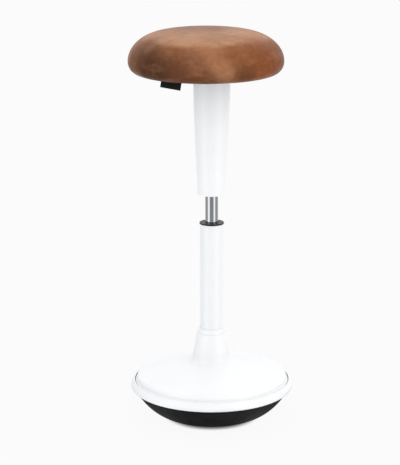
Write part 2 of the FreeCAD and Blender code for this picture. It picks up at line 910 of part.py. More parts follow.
def make_upper_sleeve():
    """The tapered sleeve that hangs from the seat plate over the column, with its screw bosses."""
    outer = sleeve_path()
    sleeve = skin(outer, sleeve_wall)
    pilot_bottom = plate_floor_underside - sleeve_screw_length
    boss_top = plate_floor_underside - sleeve_wall / 2
    middle_path = parallel_path(outer, sleeve_wall / 2)
    inside = revolved([(0.0, sleeve_bottom)] + middle_path[:-1] + [(0.0, boss_top)])
    for place in sleeve_places():
        boss = rod_between(sleeve_boss_radius, pilot_bottom - sleeve_boss_floor, boss_top, place)
        sleeve = sleeve.fuse(boss.common(inside))
    for place in sleeve_places():
        pilot = rod_between(sleeve_screw_radius + running_gap, pilot_bottom, plate_floor_underside, place)
        sleeve = sleeve.cut(pilot)
    lower_edge = [edge for edge in sleeve.Edges if is_ring_at(edge, sleeve_bottom)]
    return sleeve.makeFillet(sleeve_edge_corner, lower_edge)


def is_ring_at(edge, height):
    """Whether an edge is a level ring close to a height, and as wide as the sleeve."""
    box = edge.BoundBox
    level = box.ZLength < running_gap
    return level and abs(box.ZMin - height) < sleeve_edge_corner and box.XLength > sleeve_bottom_radius


def make_sleeve_screws():
    screws = []
    for place in sleeve_places():
        head_top = plate_floor_top + sleeve_screw_head_height
        head = rod_between(sleeve_screw_head_radius, plate_floor_top, head_top, place)
        shank_bottom = plate_floor_underside - sleeve_screw_length + bond_gap
        screws.append(head.fuse(rod_between(sleeve_screw_radius, shank_bottom, plate_floor_top, place)))
    return Part.makeCompound(screws)


def plate_bolt_places():
    half = plate_size / 2 - plate_bolt_inset
    return [
        (seat_offset - half, -half),
        (seat_offset + half, -half),
        (seat_offset - half, half),
        (seat_offset + half, half),
    ]


def make_plate_flange():
    """The flat top of the seat plate, a rounded square with a round mouth over the pressed pan."""
    half = plate_size / 2
    flange = Part.makeBox(plate_size, plate_size, plate_thickness,
                          FreeCAD.Vector(seat_offset - half, -half, plate_flange_underside))
    upright = [edge for edge in flange.Edges if edge.BoundBox.ZLength > plate_thickness / 2]
    flange = flange.makeFillet(plate_corner, upright)
    mouth = plate_mouth_radius + plate_mouth_land / 2
    return flange.cut(rod_between(mouth, plate_flange_underside, plate_top))


def make_seat_plate():
    """A pressed plate: bolting flange, pan, tapered socket for the cylinder, and ears for the lever."""
    pan_walls = skin([
        (seat_socket_radius - plate_thickness, plate_floor_underside),
        (plate_floor_radius, plate_floor_underside, plate_press_corner),
        (plate_mouth_radius, plate_flange_underside, plate_press_corner),
        (plate_mouth_radius + plate_mouth_land, plate_flange_underside),
    ], plate_thickness)
    socket = rod_between(seat_socket_radius, plate_floor_underside - seat_socket_length, plate_floor_top)
    plate = make_plate_flange().fuse(pan_walls).fuse(socket)
    for side in (-1, 1):
        plate = plate.fuse(make_lever_ear(side))
    plate = plate.cut(socket_bore())
    plate = plate.cut(lever_slot())
    for place in plate_bolt_places():
        hole = rod_between(plate_bolt_radius + cover_fit, plate_flange_underside, plate_top, place)
        plate = plate.cut(hole)
    for place in sleeve_places():
        hole = rod_between(sleeve_screw_radius + cover_fit, plate_floor_underside, plate_floor_top, place)
        plate = plate.cut(hole)
    return plate.removeSplitter()


def lever_slot():
    """The space that the lever leaves the pan through."""
    bottom = plate_floor_underside - plate_thickness
    return Part.makeBox(lever_slot_width, lever_slot_length, plate_flange_underside - bottom,
                        FreeCAD.Vector(-lever_slot_width / 2, lever_slot_start, bottom))


def socket_bore():
    """The tapered space that the cylinder's top goes into, with the fit round it."""
    bottom = plate_floor_underside - seat_socket_length
    radius_bottom = cylinder_outer_radius(bottom) + running_gap
    radius_top = cylinder_outer_radius(cylinder_top) + running_gap
    return revolved([
        (0.0, bottom),
        (radius_bottom, bottom),
        (radius_top, cylinder_top),
        (radius_top, plate_floor_top),
        (0.0, plate_floor_top),
    ])


def make_lever_ear(side):
    """One of the two upright ears on the plate's floor that hold the lever's pin."""
    inner_face = lever_radius + lever_ear_gap
    start = inner_face if side > 0 else -inner_face - lever_ear_thickness
    top = lever_height + lever_pin_radius + lever_ear_margin
    ear = Part.makeBox(lever_ear_thickness, lever_ear_width, top - plate_floor_top,
                       FreeCAD.Vector(start, lever_pivot_reach - lever_ear_width / 2, plate_floor_top))
    return ear.cut(lever_pin_space(lever_pin_radius + running_gap))


def lever_pin_space(radius):
    """A round rod on the lever's pivot, as long as the two ears are wide apart."""
    half = lever_radius + lever_ear_gap + lever_ear_thickness
    start = FreeCAD.Vector(-half, lever_pivot_reach, lever_height)
    return Part.makeCylinder(radius, 2 * half, start, FreeCAD.Vector(1, 0, 0))


def make_lever_pivot_pin():
    return lever_pin_space(lever_pin_radius)


def turned_to_back(shape):
    """Turn a shape made in the XZ plane so that its +X side points to +Y."""
    return shape.rotate(FreeCAD.Vector(0, 0, 0), FreeCAD.Vector(0, 0, 1), 90)


def make_release_lever():
    """A bent steel rod: it rests over the valve pin, turns on the pivot and leaves through the slot."""
    route = Part.Wire(path_edges([
        (lever_inner_end, lever_height),
        (lever_knee, lever_height, lever_bend),
        (lever_drop_end, lever_low_height, lever_bend),
        (lever_outer_end, lever_low_height),
    ]))
    ring = Part.makeCircle(lever_radius, vector(lever_inner_end, lever_height), FreeCAD.Vector(1, 0, 0))
    lever = route.makePipeShell([Part.Wire(ring)], True, False)
    return turned_to_back(lever).cut(lever_pin_space(lever_pin_radius + running_gap))


def make_lever_grip():
    """A moulded grip on the end of the lever, thicker in the middle, with a closed end."""
    end_radius = grip_radius - grip_waist
    bore = lever_radius + running_gap
    bore_end = grip_length - grip_end_wall
    grip = revolved([
        (bore, 0.0),
        (end_radius, 0.0, grip_mouth_corner),
        (grip_radius, grip_length / 2, grip_belly_radius),
        (end_radius, grip_length, grip_end_corner),
        (0.0, grip_length),
        (0.0, bore_end),
        (bore, bore_end),
    ])
    grip = grip.rotate(FreeCAD.Vector(0, 0, 0), FreeCAD.Vector(1, 0, 0), -90)
    start = lever_outer_end - bore_end + bond_gap
    return grip.translate(FreeCAD.Vector(0, start, lever_low_height))


def make_seat_board():
    board = Part.makeCylinder(board_radius, board_thickness, FreeCAD.Vector(seat_offset, 0, board_bottom))
    for place in plate_bolt_places():
        board = board.cut(rod_between(tee_nut_barrel_radius + running_gap, board_bottom, board_top, place))
        flange_bottom = board_top - tee_nut_flange_thickness
        board = board.cut(rod_between(tee_nut_flange_radius + bond_gap, flange_bottom, board_top, place))
    return board


def make_tee_nuts():
    nuts = []
    for place in plate_bolt_places():
        flange = rod_between(tee_nut_flange_radius, board_top - tee_nut_flange_thickness, board_top, place)
        barrel = rod_between(tee_nut_barrel_radius, board_top - tee_nut_barrel_length, board_top, place)
        nut = flange.fuse(barrel)
        nuts.append(nut.cut(rod_between(plate_bolt_radius + running_gap, board_bottom, board_top, place)))
    return Part.makeCompound(nuts)


def make_plate_washers():
    washers = []
    top = plate_flange_underside
    bottom = top - plate_washer_thickness
    for place in plate_bolt_places():
        ring = rod_between(plate_washer_radius, bottom, top, place)
        washers.append(ring.cut(rod_between(plate_bolt_radius + cover_fit, bottom, top, place)))
    return Part.makeCompound(washers)


def make_plate_bolts():
    bolts = []
    seat = plate_flange_underside - plate_washer_thickness
    for place in plate_bolt_places():
        head = hexagon(plate_bolt_head_radius, seat - plate_bolt_head_height, seat, place)
        bolts.append(head.fuse(rod_between(plate_bolt_radius, seat, board_top - bond_gap, place)))
    return Part.makeCompound(bolts)


def make_dust_cover():
    radius = seat_bottom_radius - leather_tuck - soft_gap
    sheet = Part.makeCylinder(radius, dust_cover_thickness, FreeCAD.Vector(seat_offset, 0, dust_cover_bottom))
    for place in plate_bolt_places():
        sheet = sheet.cut(rod_between(plate_bolt_radius + cover_fit, dust_cover_bottom, board_bottom, place))
    return sheet


def quarter_ellipse(centre, across, upward):
    """A quarter of an ellipse in the XZ plane, from its end on the right to its top or its foot."""
    right = centre + FreeCAD.Vector(across, 0, 0)
    end = centre + FreeCAD.Vector(0, 0, upward)
    if abs(upward) > across:
        return Part.ArcOfEllipse(Part.Ellipse(end, right, centre), 0, math.pi / 2).toShape()
    return Part.ArcOfEllipse(Part.Ellipse(right, end, centre), 0, math.pi / 2).toShape()


def dish_curve(crest, middle):
    """From the crest down to the middle of the seat, level at both ends."""
    inward = FreeCAD.Vector(-1, 0, 0)
    curve = Part.BSplineCurve()
    curve.interpolate(Points=[crest, middle], InitialTangent=inward, FinalTangent=inward)
    return curve.toShape()


def cushion_form(inset):
    """The cushion's body, drawn in at its lower edge, crowned, and dished inside its crest."""
    bottom = seat_bottom_height + inset
    crest = vector(seat_crest_radius, seat_crest_height - inset)
    middle = vector(0.0, seat_crest_height - inset - seat_dish)
    under_centre = vector(seat_bottom_radius, seat_widest_height)
    over_centre = vector(seat_crest_radius, seat_widest_height)
    widest = seat_radius - inset
    edges = [
        Part.LineSegment(vector(0.0, bottom), vector(seat_bottom_radius, bottom)).toShape(),
        quarter_ellipse(under_centre, widest - seat_bottom_radius, bottom - seat_widest_height),
        quarter_ellipse(over_centre, widest - seat_crest_radius, crest.z - seat_widest_height),
        dish_curve(crest, middle),
        Part.LineSegment(middle, vector(0.0, bottom)).toShape(),
    ]
    return revolved_wire(Part.Wire(edges)).translate(FreeCAD.Vector(seat_offset, 0, 0))


def make_cushion_foam():
    foam = cushion_form(leather_thickness + bond_gap)
    place = FreeCAD.Vector(seat_offset, 0, 0)
    pocket = Part.makeCylinder(board_radius + bond_gap, board_top + bond_gap, place)
    return foam.cut(pocket)


def make_leather_cover():
    """The leather skin: over the foam, round the board's edge and tucked under it."""
    cover = cushion_form(0.0).cut(cushion_form(leather_thickness))
    place = FreeCAD.Vector(seat_offset, 0, seat_bottom_height - leather_thickness)
    opening = Part.makeCylinder(seat_bottom_radius - leather_tuck, 3 * leather_thickness, place)
    return cover.cut(opening)


def make_label_tab():
    """A bare woven tab under the lower edge of the cover: it leans out and hangs a little askew."""
    height = 2 * tab_drop
    tab = Part.makeBox(tab_width, tab_thickness, height, FreeCAD.Vector(-tab_width / 2, 0, -tab_drop))
    upright = [edge for edge in tab.Edges if edge.BoundBox.YLength > tab_thickness / 2]
    tab = tab.makeFillet(tab_corner, upright)
    origin = FreeCAD.Vector(0, 0, 0)
    tab.rotate(origin, FreeCAD.Vector(0, 1, 0), tab_twist)
    tab.rotate(origin, FreeCAD.Vector(1, 0, 0), -tab_lean)
    tab.translate(FreeCAD.Vector(0, -tab_radius, seat_bottom_height))
    above = Part.makeBox(2 * tab_width, 2 * height, 2 * height,
                         FreeCAD.Vector(-tab_width, -tab_radius - height, seat_bottom_height - bond_gap))
    tab = tab.cut(above)
    tab.rotate(origin, FreeCAD.Vector(0, 0, 1), tab_angle)
    tab.translate(FreeCAD.Vector(seat_offset, 0, 0))
    return tab


sub_parts = {
    "rocker_sole": make_rocker_sole,
    "base_pan": make_base_pan,
    "pan_inserts": make_pan_inserts,
    "base_cover": make_base_cover,
    "cover_screws": make_cover_screws,
    "neck_ring": make_neck_ring,
    "ballast_disc": make_ballast_disc,
    "hub_socket": make_hub_socket,
    "hub_bolts": make_hub_bolts,
    "outer_tube": make_outer_tube,
    "tube_bottom_plate": make_tube_bottom_plate,
    "guide_bush": make_guide_bush,
    "wiper_ring": make_wiper_ring,
    "bearing_lower_race": make_bearing_lower_race,
    "bearing_balls": make_bearing_balls,
    "bearing_cage": make_bearing_cage,
    "bearing_upper_race": make_bearing_upper_race,
    "rubber_buffer": make_rubber_buffer,
    "piston_rod": make_piston_rod,
    "clip_washer": make_clip_washer,
    "retaining_clip": make_retaining_clip,
    "piston": make_piston,
    "piston_seal": make_piston_seal,
    "gas_cylinder": make_gas_cylinder,
    "pressure_tube": make_pressure_tube,
    "cylinder_gland": make_cylinder_gland,
    "rod_seal": make_rod_seal,
    "valve_body": make_valve_body,
    "valve_pin": make_valve_pin,
    "upper_sleeve": make_upper_sleeve,
    "sleeve_screws": make_sleeve_screws,
    "seat_plate": make_seat_plate,
    "lever_pivot_pin": make_lever_pivot_pin,
    "release_lever": make_release_lever,
    "lever_grip": make_lever_grip,
    "seat_board": make_seat_board,
    "tee_nuts": make_tee_nuts,
    "plate_washers": make_plate_washers,
    "plate_bolts": make_plate_bolts,
    "dust_cover": make_dust_cover,
    "cushion_foam": make_cushion_foam,
    "leather_cover": make_leather_cover,
    "label_tab": make_label_tab,
}

os.makedirs("parts", exist_ok=True)
for name, make in sub_parts.items():
    make().exportStep("parts/" + name + ".step")
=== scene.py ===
import json
import math
import bpy
from mathutils import Matrix, Vector, noise


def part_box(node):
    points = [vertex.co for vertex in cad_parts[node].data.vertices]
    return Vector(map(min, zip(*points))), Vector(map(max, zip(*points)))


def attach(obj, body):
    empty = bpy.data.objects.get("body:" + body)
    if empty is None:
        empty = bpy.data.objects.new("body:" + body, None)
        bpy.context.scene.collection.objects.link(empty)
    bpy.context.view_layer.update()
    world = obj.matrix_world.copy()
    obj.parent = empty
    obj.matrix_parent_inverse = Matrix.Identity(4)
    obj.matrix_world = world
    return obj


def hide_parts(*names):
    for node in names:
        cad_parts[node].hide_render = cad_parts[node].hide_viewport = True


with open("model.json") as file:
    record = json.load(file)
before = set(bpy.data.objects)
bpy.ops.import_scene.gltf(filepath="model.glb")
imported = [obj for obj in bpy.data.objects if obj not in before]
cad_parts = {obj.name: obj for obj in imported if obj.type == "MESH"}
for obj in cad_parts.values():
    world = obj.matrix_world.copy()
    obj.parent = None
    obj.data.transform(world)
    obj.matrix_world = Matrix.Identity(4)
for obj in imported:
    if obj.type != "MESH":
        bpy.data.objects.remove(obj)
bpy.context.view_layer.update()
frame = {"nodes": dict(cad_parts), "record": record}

# The photograph's frame and the camera that was fitted to it: the pixel that its axis goes through, the
# focal length in pixels, its place in metres and how far it looks down, in radians
FRAME_WIDTH = 400
FRAME_HEIGHT = 465
AXIS_PIXEL_X = 211.72
AXIS_PIXEL_Y = 228.65
FOCAL_PIXELS = 1784.4
CAMERA_DISTANCE = 3.7
CAMERA_HEIGHT = 1.3669
CAMERA_PITCH = 0.2505
SENSOR = 36.0

# Studio: the white that the camera sees, the walls that metal mirrors (each band's angle round the column
# in degrees, 0 towards the camera), the lamp over and behind the object, and the soft light
BACKDROP = "FBFBFB"
FLOOR_COLOUR = "F6F6F6"
FLOOR_SHADOW_SHARE = 0.03
CONTACT_SHADOW_REACH = 0.010
WALL_STRENGTH = 1.6
WALL_WHITE = "CBCBCB"
WALL_GREY = "898989"
WALL_DARK = "7C7C7C"
WALL_LAMP = "E9E9E9"
WALL_BANDS = [(-180, WALL_WHITE), (-146, WALL_WHITE), (-138, WALL_GREY), (-76, WALL_GREY), (-68, WALL_LAMP),
              (-40, WALL_LAMP), (-30, WALL_DARK), (28, WALL_DARK), (38, WALL_LAMP), (60, WALL_LAMP),
              (68, WALL_GREY), (124, WALL_GREY), (134, WALL_WHITE), (180, WALL_WHITE)]
OVERHEAD_STRENGTH = 1.2
OVERHEAD_BEHIND = (0.10, 0.30)
OVERHEAD_RAISED = (0.35, 0.65)
SKY_STRENGTH = 1.15
SKY_LEFT = "E8EAEC"
SKY_MIDDLE = "F8F9FA"
SKY_RIGHT = "FCFCFC"
KEY_POWER = 5.0
KEY_PLACE = (2.0, -2.1, 2.6)
KEY_AIM = (0.0, 0.0, 0.45)
KEY_SIZE = 1.8
TOP_POWER = 3.0
TOP_PLACE = (0.2, 0.5, 3.0)
TOP_AIM = (0.0, 0.0, 0.6)
TOP_SIZE = 1.6
FLOOR_SIZE = 60.0

# Seat form, in metres: crest, widest line and tuck as in the solid, a fuller lower edge and no dish
SEAT_CREST_RADIUS = 0.078
SEAT_WIDEST_RISE = 0.0255
SEAT_UNDERCUT = 0.033
SEAT_LOWER_BULGE = 0.0014
SEAT_FULLNESS = 0.9
SEAT_OUTLINE_STEPS = 18
SEAT_FACETS = 128
LEATHER_TUCK = 0.012
LEATHER_THICKNESS = 0.0018

# Cushion, in metres: the stuffing may push the leather out by the cap. The staples hold it below the first
# height above its bottom, and it is free above the second
SWELL_CAP = 0.0025
STUFFING_PRESSURE = 1.8
STUFFING_FRAMES = 20
HELD_BELOW = 0.006
FREE_ABOVE = 0.030
CUSHION_VOXEL = 0.005
CUSHION_SMOOTH_ANGLE = 40
PLEAT_COUNT = 31
PLEAT_DEPTH = 0.0006
PLEAT_WANDER = 1.5
PLEAT_WANDER_SCALE = 6.0
PLEAT_BREADTH = 0.6
POCKET_DROP = 0.01
BOARD_FIT = 0.0004

# Rubber sole, in metres and degrees: the same bowl as its solid, with the swell that the real flare has
SOLE_PATCH_RADIUS = 0.049
SOLE_BALL_RADIUS = 0.500
SOLE_SWELL_START = 0.100
SOLE_SWELL_REACH = 0.028
SOLE_RIM_REACH = 0.034
SOLE_RIM_ANGLE = 60.0
SOLE_RIM_TAPER = 0.003
SOLE_FLARE_ANGLE = 46.0
SOLE_SKIN = 0.0039
SOLE_BALL_STEPS = 6
SOLE_SWELL_STEPS = 20
SOLE_FOLD_STEP = 0.001
SOLE_FACETS = 192
SOLE_SMOOTH_ANGLE = 35

# Cloth and staples under the seat, in metres and degrees
DUST_CLOTH_THICKNESS = 0.0004
DUST_CLOTH_SAG = 0.0003
DUST_CLOTH_STEPS = 16
DUST_CLOTH_FACETS = 96
LABEL_WIDTH = 0.050
LABEL_DROP = 0.015
LABEL_TRIM = 0.002
LABEL_THICKNESS = 0.00035
LABEL_HALF_GAP = LABEL_THICKNESS * 0.55
LABEL_DROP_STEPS = 8
LABEL_FOLD_TURNS = (36, 72, 108, 144)
LABEL_WIDTH_STEPS = 12
LABEL_CURL = 0.0006
LABEL_SEAT_GAP = 0.0001
LABEL_INSET = 0.002
LABEL_ANGLE = -33.0
LABEL_LEAN = 14.0
LABEL_TWIST = 3.0
STAPLE_COUNT = 30
STAPLE_CROWN = 0.010
STAPLE_LEG = 0.0016
STAPLE_WIRE = 0.0009
STAPLE_WIRE_DEPTH = STAPLE_WIRE * 0.6
STAPLE_SUNK = STAPLE_WIRE * 0.2
STAPLE_BEND = 0.0006
STAPLE_CORNER = 0.0002
STAPLE_INSET = LEATHER_TUCK * 0.55
STAPLE_DRIFT = 0.0012
STAPLE_SLANT = 0.25

# Patches on the leather, part wear and part painted light: the dark ones low on the front and on the left
# side are painted shade, the orange ones on the right side are painted light, the others are spots of wear.
# Centre, radius, colour and strength of each patch, which keeps its strength over the core, a share of its
# radius
PATCH_CORE = 0.25
WEAR_AND_LIGHT_PATCHES = [
    ((-0.150, -0.070, 0.790), 0.105, "6E4C37", 0.60),
    ((-0.110, -0.110, 0.768), 0.080, "462715", 0.80),
    ((-0.060, -0.145, 0.758), 0.075, "3E1F0C", 0.80),
    ((0.010, -0.150, 0.744), 0.046, "45240F", 0.70),
    ((0.080, -0.135, 0.750), 0.060, "5A3014", 0.70),
    ((0.130, -0.075, 0.790), 0.085, "8A4A24", 0.80),
    ((0.148, -0.020, 0.775), 0.070, "7A4222", 0.70),
    ((0.032, -0.150, 0.783), 0.036, "B98562", 0.50),
    ((-0.010, -0.130, 0.812), 0.060, "BC8560", 0.45),
    ((-0.046, -0.148, 0.786), 0.060, "74442A", 0.60),
    ((-0.015, 0.065, 0.845), 0.125, "87543A", 0.80),
    ((0.010, -0.065, 0.845), 0.055, "A06C4B", 0.50),
    ((-0.060, -0.030, 0.845), 0.055, "A97453", 0.50),
    ((0.010, 0.150, 0.790), 0.080, "6B4029", 0.50),
    ((-0.150, 0.060, 0.800), 0.070, "8A5433", 0.50),
    ((0.090, 0.120, 0.785), 0.050, "A9785A", 0.45),
]
# Heights between which the paler top begins: painted light, the top of the seat drawn paler as if lit from
# above
LIT_TOP_FROM = 0.8190
LIT_TOP_TO = 0.8290


def clear_selection():
    """Leave edit mode and deselect everything."""
    if bpy.context.object and bpy.context.object.mode != "OBJECT":
        bpy.ops.object.mode_set(mode="OBJECT")
    bpy.ops.object.select_all(action="DESELECT")


def select_only(piece):
    """Make a piece the one selected and active object."""
    clear_selection()
    piece.select_set(True)
    bpy.context.view_layer.objects.active = piece


def covered(piece, material):
    """Give a whole piece one material."""
    piece.data.materials.clear()
    piece.data.materials.append(material)


def linear(hex_code):
    """sRGB hex, as a colour is written on a chip, to Blender's linear values."""
    values = []
    for start in (0, 2, 4):
        channel = int(hex_code[start:start + 2], 16) / 255
        values.append(channel / 12.92 if channel <= 0.04045 else ((channel + 0.055) / 1.055) ** 2.4)
    return (values[0], values[1], values[2], 1.0)


def add(tree, kind, links=None, **settings):
    """Add a node, set its values by name, and link its inputs to other nodes' outputs."""
    made = tree.nodes.new(kind)
    for name, value in settings.items():
        if hasattr(made, name):
            setattr(made, name, value)
        else:
            made.inputs[name.replace("_", " ")].default_value = value
    for socket, source in (links or {}).items():
        tree.links.new(source, made.inputs[socket])
    return made


def new_material(name, **shader_values):
    """A material with one Principled shader, its plain values set on the shader's own sockets."""
    material = bpy.data.materials.new(name)
    material.use_nodes = True
    tree = material.node_tree
    shader = tree.nodes["Principled BSDF"]
    for socket, value in shader_values.items():
        shader.inputs[socket.replace("_", " ")].default_value = value
    where = add(tree, "ShaderNodeTexCoord").outputs["Object"]
    return material, tree, shader, where


def ramp(tree, fac, stops):
    """A colour ramp; each stop is a place from 0 to 1 and a hex colour."""
    made = add(tree, "ShaderNodeValToRGB", {"Fac": fac})
    elements = made.color_ramp.elements
    while len(elements) < len(stops):
        elements.new(0.5)
    for element, (place, colour) in zip(elements, stops):
        element.position = place
        element.color = linear(colour)
    return made.outputs["Color"]


def per_metre(millimetres):
    """Noise scale that repeats about once in this many millimetres."""
    return 1000.0 / millimetres


def set_camera():
    """The camera that was fitted to the photograph; its shifts put its axis at the fitted pixel."""
    data = bpy.data.cameras.new("camera")
    data.sensor_width = SENSOR
    data.lens = FOCAL_PIXELS * SENSOR / FRAME_HEIGHT
    data.shift_x = (FRAME_WIDTH / 2 - AXIS_PIXEL_X) / FRAME_HEIGHT
    data.shift_y = (AXIS_PIXEL_Y - FRAME_HEIGHT / 2) / FRAME_HEIGHT
    camera = bpy.data.objects.new("camera", data)
    camera.location = (0.0, -CAMERA_DISTANCE, CAMERA_HEIGHT)
    camera.rotation_euler = (math.pi / 2 - CAMERA_PITCH, 0.0, 0.0)
    bpy.context.collection.objects.link(camera)
    bpy.context.scene.camera = camera


def area_light(name, place, target, size, power):
    """A square soft lamp at a place, turned to a target."""
    data = bpy.data.lights.new(name, "AREA")
    data.shape = "SQUARE"
    data.size = size
    data.energy = power
    light = bpy.data.objects.new(name, data)
    light.location = place
    light.rotation_euler = (Vector(target) - Vector(place)).to_track_quat("-Z", "Y").to_euler()
    bpy.context.collection.objects.link(light)


def studio_walls(tree, direction):
    """What polished metal sees: two tall softboxes, a dark gap between them on the camera's side,
    grey walls at the sides and the white backdrop behind the object."""
    split = add(tree, "ShaderNodeSeparateXYZ", {"Vector": direction})
    forward = add(tree, "ShaderNodeMath", {0: split.outputs["Y"]}, operation="MULTIPLY")
    forward.inputs[1].default_value = -1.0
    turn = add(tree, "ShaderNodeMath", {0: split.outputs["X"], 1: forward.outputs[0]}, operation="ARCTAN2")
    share = add(tree, "ShaderNodeMapRange", {"Value": turn.outputs[0]}, From_Min=-math.pi, From_Max=math.pi)
    stops = [(degrees / 360 + 0.5, colour) for degrees, colour in WALL_BANDS]
    return ramp(tree, share.outputs["Result"], stops)


def emission_for(tree, camera_shader, glossy_shader, other_shader):
    """Pick a shader by what looks at it: the camera, a reflection, or scattered light."""
    path = add(tree, "ShaderNodeLightPath")
    mirrored = add(tree, "ShaderNodeMixShader",
                   {0: path.outputs["Is Glossy Ray"], 1: other_shader, 2: glossy_shader})
    return add(tree, "ShaderNodeMixShader",
               {0: path.outputs["Is Camera Ray"], 1: mirrored.outputs[0], 2: camera_shader}).outputs[0]


def set_world():
    """Pale studio: a white backdrop, softboxes that only polished things show, and an even soft light."""
    world = bpy.data.worlds.new("studio")
    bpy.context.scene.world = world
    world.use_nodes = True
    tree = world.node_tree
    tree.nodes.clear()
    direction = add(tree, "ShaderNodeTexCoord").outputs["Generated"]
    split = add(tree, "ShaderNodeSeparateXYZ", {"Vector": direction})
    seen = add(tree, "ShaderNodeBackground", Color=linear(BACKDROP), Strength=1.0)
    mirror_walls = studio_walls(tree, direction)
    walls = add(tree, "ShaderNodeBackground", {"Color": mirror_walls}, Strength=WALL_STRENGTH)
    overhead = add(tree, "ShaderNodeBackground", Color=linear("FFFFFF"), Strength=OVERHEAD_STRENGTH)
    behind = add(tree, "ShaderNodeMapRange", {"Value": split.outputs["Y"]},
                 From_Min=OVERHEAD_BEHIND[0], From_Max=OVERHEAD_BEHIND[1])
    raised = add(tree, "ShaderNodeMapRange", {"Value": split.outputs["Z"]},
                 From_Min=OVERHEAD_RAISED[0], From_Max=OVERHEAD_RAISED[1])
    lamp_share = add(tree, "ShaderNodeMath", {0: behind.outputs[0], 1: raised.outputs[0]},
                     operation="MULTIPLY")
    mirrored = add(tree, "ShaderNodeMixShader",
                   {0: lamp_share.outputs[0], 1: walls.outputs[0], 2: overhead.outputs[0]})
    side = add(tree, "ShaderNodeMapRange", {"Value": split.outputs["X"]}, From_Min=-1.0, From_Max=1.0)
    sky = ramp(tree, side.outputs["Result"], [(0.0, SKY_LEFT), (0.5, SKY_MIDDLE), (1.0, SKY_RIGHT)])
    soft = add(tree, "ShaderNodeBackground", {"Color": sky}, Strength=SKY_STRENGTH)
    surface = emission_for(tree, seen.outputs[0], mirrored.outputs[0], soft.outputs[0])
    add(tree, "ShaderNodeOutputWorld", {"Surface": surface})


def make_floor():
    """A pale floor: even to the camera, darker where the sole leaves no light under it."""
    clear_selection()
    bpy.ops.mesh.primitive_plane_add(size=FLOOR_SIZE)
    floor = bpy.context.object
    floor.name = "floor"
    material, tree, shader, where = new_material("pale_floor", Roughness=0.9, Specular_IOR_Level=0.0)
    shader.inputs["Base Color"].default_value = linear(FLOOR_COLOUR)
    closeness = add(tree, "ShaderNodeAmbientOcclusion", Distance=CONTACT_SHADOW_REACH, samples=32)
    shade = ramp(tree, closeness.outputs["AO"], [
        (0.0, "2A2A2A"), (0.3, "767676"), (0.48, "CACACA"), (0.62, "EAEAEA"), (0.8, BACKDROP)])
    glow = add(tree, "ShaderNodeEmission", {"Color": shade}, Strength=1.0)
    seen = add(tree, "ShaderNodeMixShader", {1: glow.outputs[0], 2: shader.outputs[0]},
               Fac=FLOOR_SHADOW_SHARE)
    walls = add(tree, "ShaderNodeEmission", {"Color": studio_walls(tree, where)}, Strength=WALL_STRENGTH)
    surface = emission_for(tree, seen.outputs[0], walls.outputs[0], shader.outputs[0])
    tree.links.new(surface, tree.nodes["Material Output"].inputs["Surface"])
    floor.data.materials.append(material)


def set_lamps():
    """A weak key from the right front and a weaker one from above."""
    area_light("key", KEY_PLACE, KEY_AIM, KEY_SIZE, KEY_POWER)
    area_light("top", TOP_PLACE, TOP_AIM, TOP_SIZE, TOP_POWER)


bpy.context.scene.view_settings.view_transform = "Standard"
set_camera()
set_world()
make_floor()
set_lamps()


def moulded_gloss_abs():
    """Injection-moulded gloss ABS: smooth white, a faint slow ripple from cooling, almost no texture."""
    material, tree, shader, where = new_material("moulded_gloss_abs", Roughness=0.28, IOR=1.53)
    tone = add(tree, "ShaderNodeTexNoise", {"Vector": where}, Scale=per_metre(90), Detail=2.0)
    colour = ramp(tree, tone.outputs["Fac"], [(0.3, "F5F6F7"), (0.7, "F8F9FA")])
    tree.links.new(colour, shader.inputs["Base Color"])
    ripple = add(tree, "ShaderNodeTexNoise", {"Vector": where}, Scale=per_metre(45), Detail=1.0)
    bump = add(tree, "ShaderNodeBump", {"Height": ripple.outputs["Fac"]}, Strength=0.05, Distance=0.0006)
    tree.links.new(bump.outputs["Normal"], shader.inputs["Normal"])
    return material


def gloss_enamel_on_steel():
    """White baked enamel on the steel tube: gloss with a slight orange peel."""
    material, tree, shader, where = new_material("gloss_enamel_on_steel", Roughness=0.22, IOR=1.5)
    shader.inputs["Base Color"].default_value = linear("F3F4F5")
    peel = add(tree, "ShaderNodeTexNoise", {"Vector": where}, Scale=per_metre(2.2), Detail=1.0)
    bump = add(tree, "ShaderNodeBump", {"Height": peel.outputs["Fac"]}, Strength=0.08, Distance=0.0001)
    tree.links.new(bump.outputs["Normal"], shader.inputs["Normal"])
    return material


def moulded_rubber():
    """Moulded natural rubber: dull black, with fine turned lines from its mould and a cloudy bloom."""
    material, tree, shader, where = new_material("moulded_rubber", Roughness=0.85, Specular_IOR_Level=0.15)
    cloud = add(tree, "ShaderNodeTexNoise", {"Vector": where},
                Scale=per_metre(28), Detail=5.0, Roughness=0.6)
    colour = ramp(tree, cloud.outputs["Fac"], [(0.3, "1A1A1B"), (0.75, "242425")])
    tree.links.new(colour, shader.inputs["Base Color"])
    height = add(tree, "ShaderNodeSeparateXYZ", {"Vector": where}).outputs["Z"]
    rings = add(tree, "ShaderNodeMath", {0: height}, operation="MULTIPLY")
    rings.inputs[1].default_value = 2 * math.pi * per_metre(1.6)
    wave = add(tree, "ShaderNodeMath", {0: rings.outputs[0]}, operation="SINE")
    grain = add(tree, "ShaderNodeTexNoise", {"Vector": where}, Scale=per_metre(0.9), Detail=2.0)
    both = add(tree, "ShaderNodeMath", {0: wave.outputs[0], 1: grain.outputs["Fac"]}, operation="ADD")
    bump = add(tree, "ShaderNodeBump", {"Height": both.outputs[0]}, Strength=0.35, Distance=0.00025)
    tree.links.new(bump.outputs["Normal"], shader.inputs["Normal"])
    return material


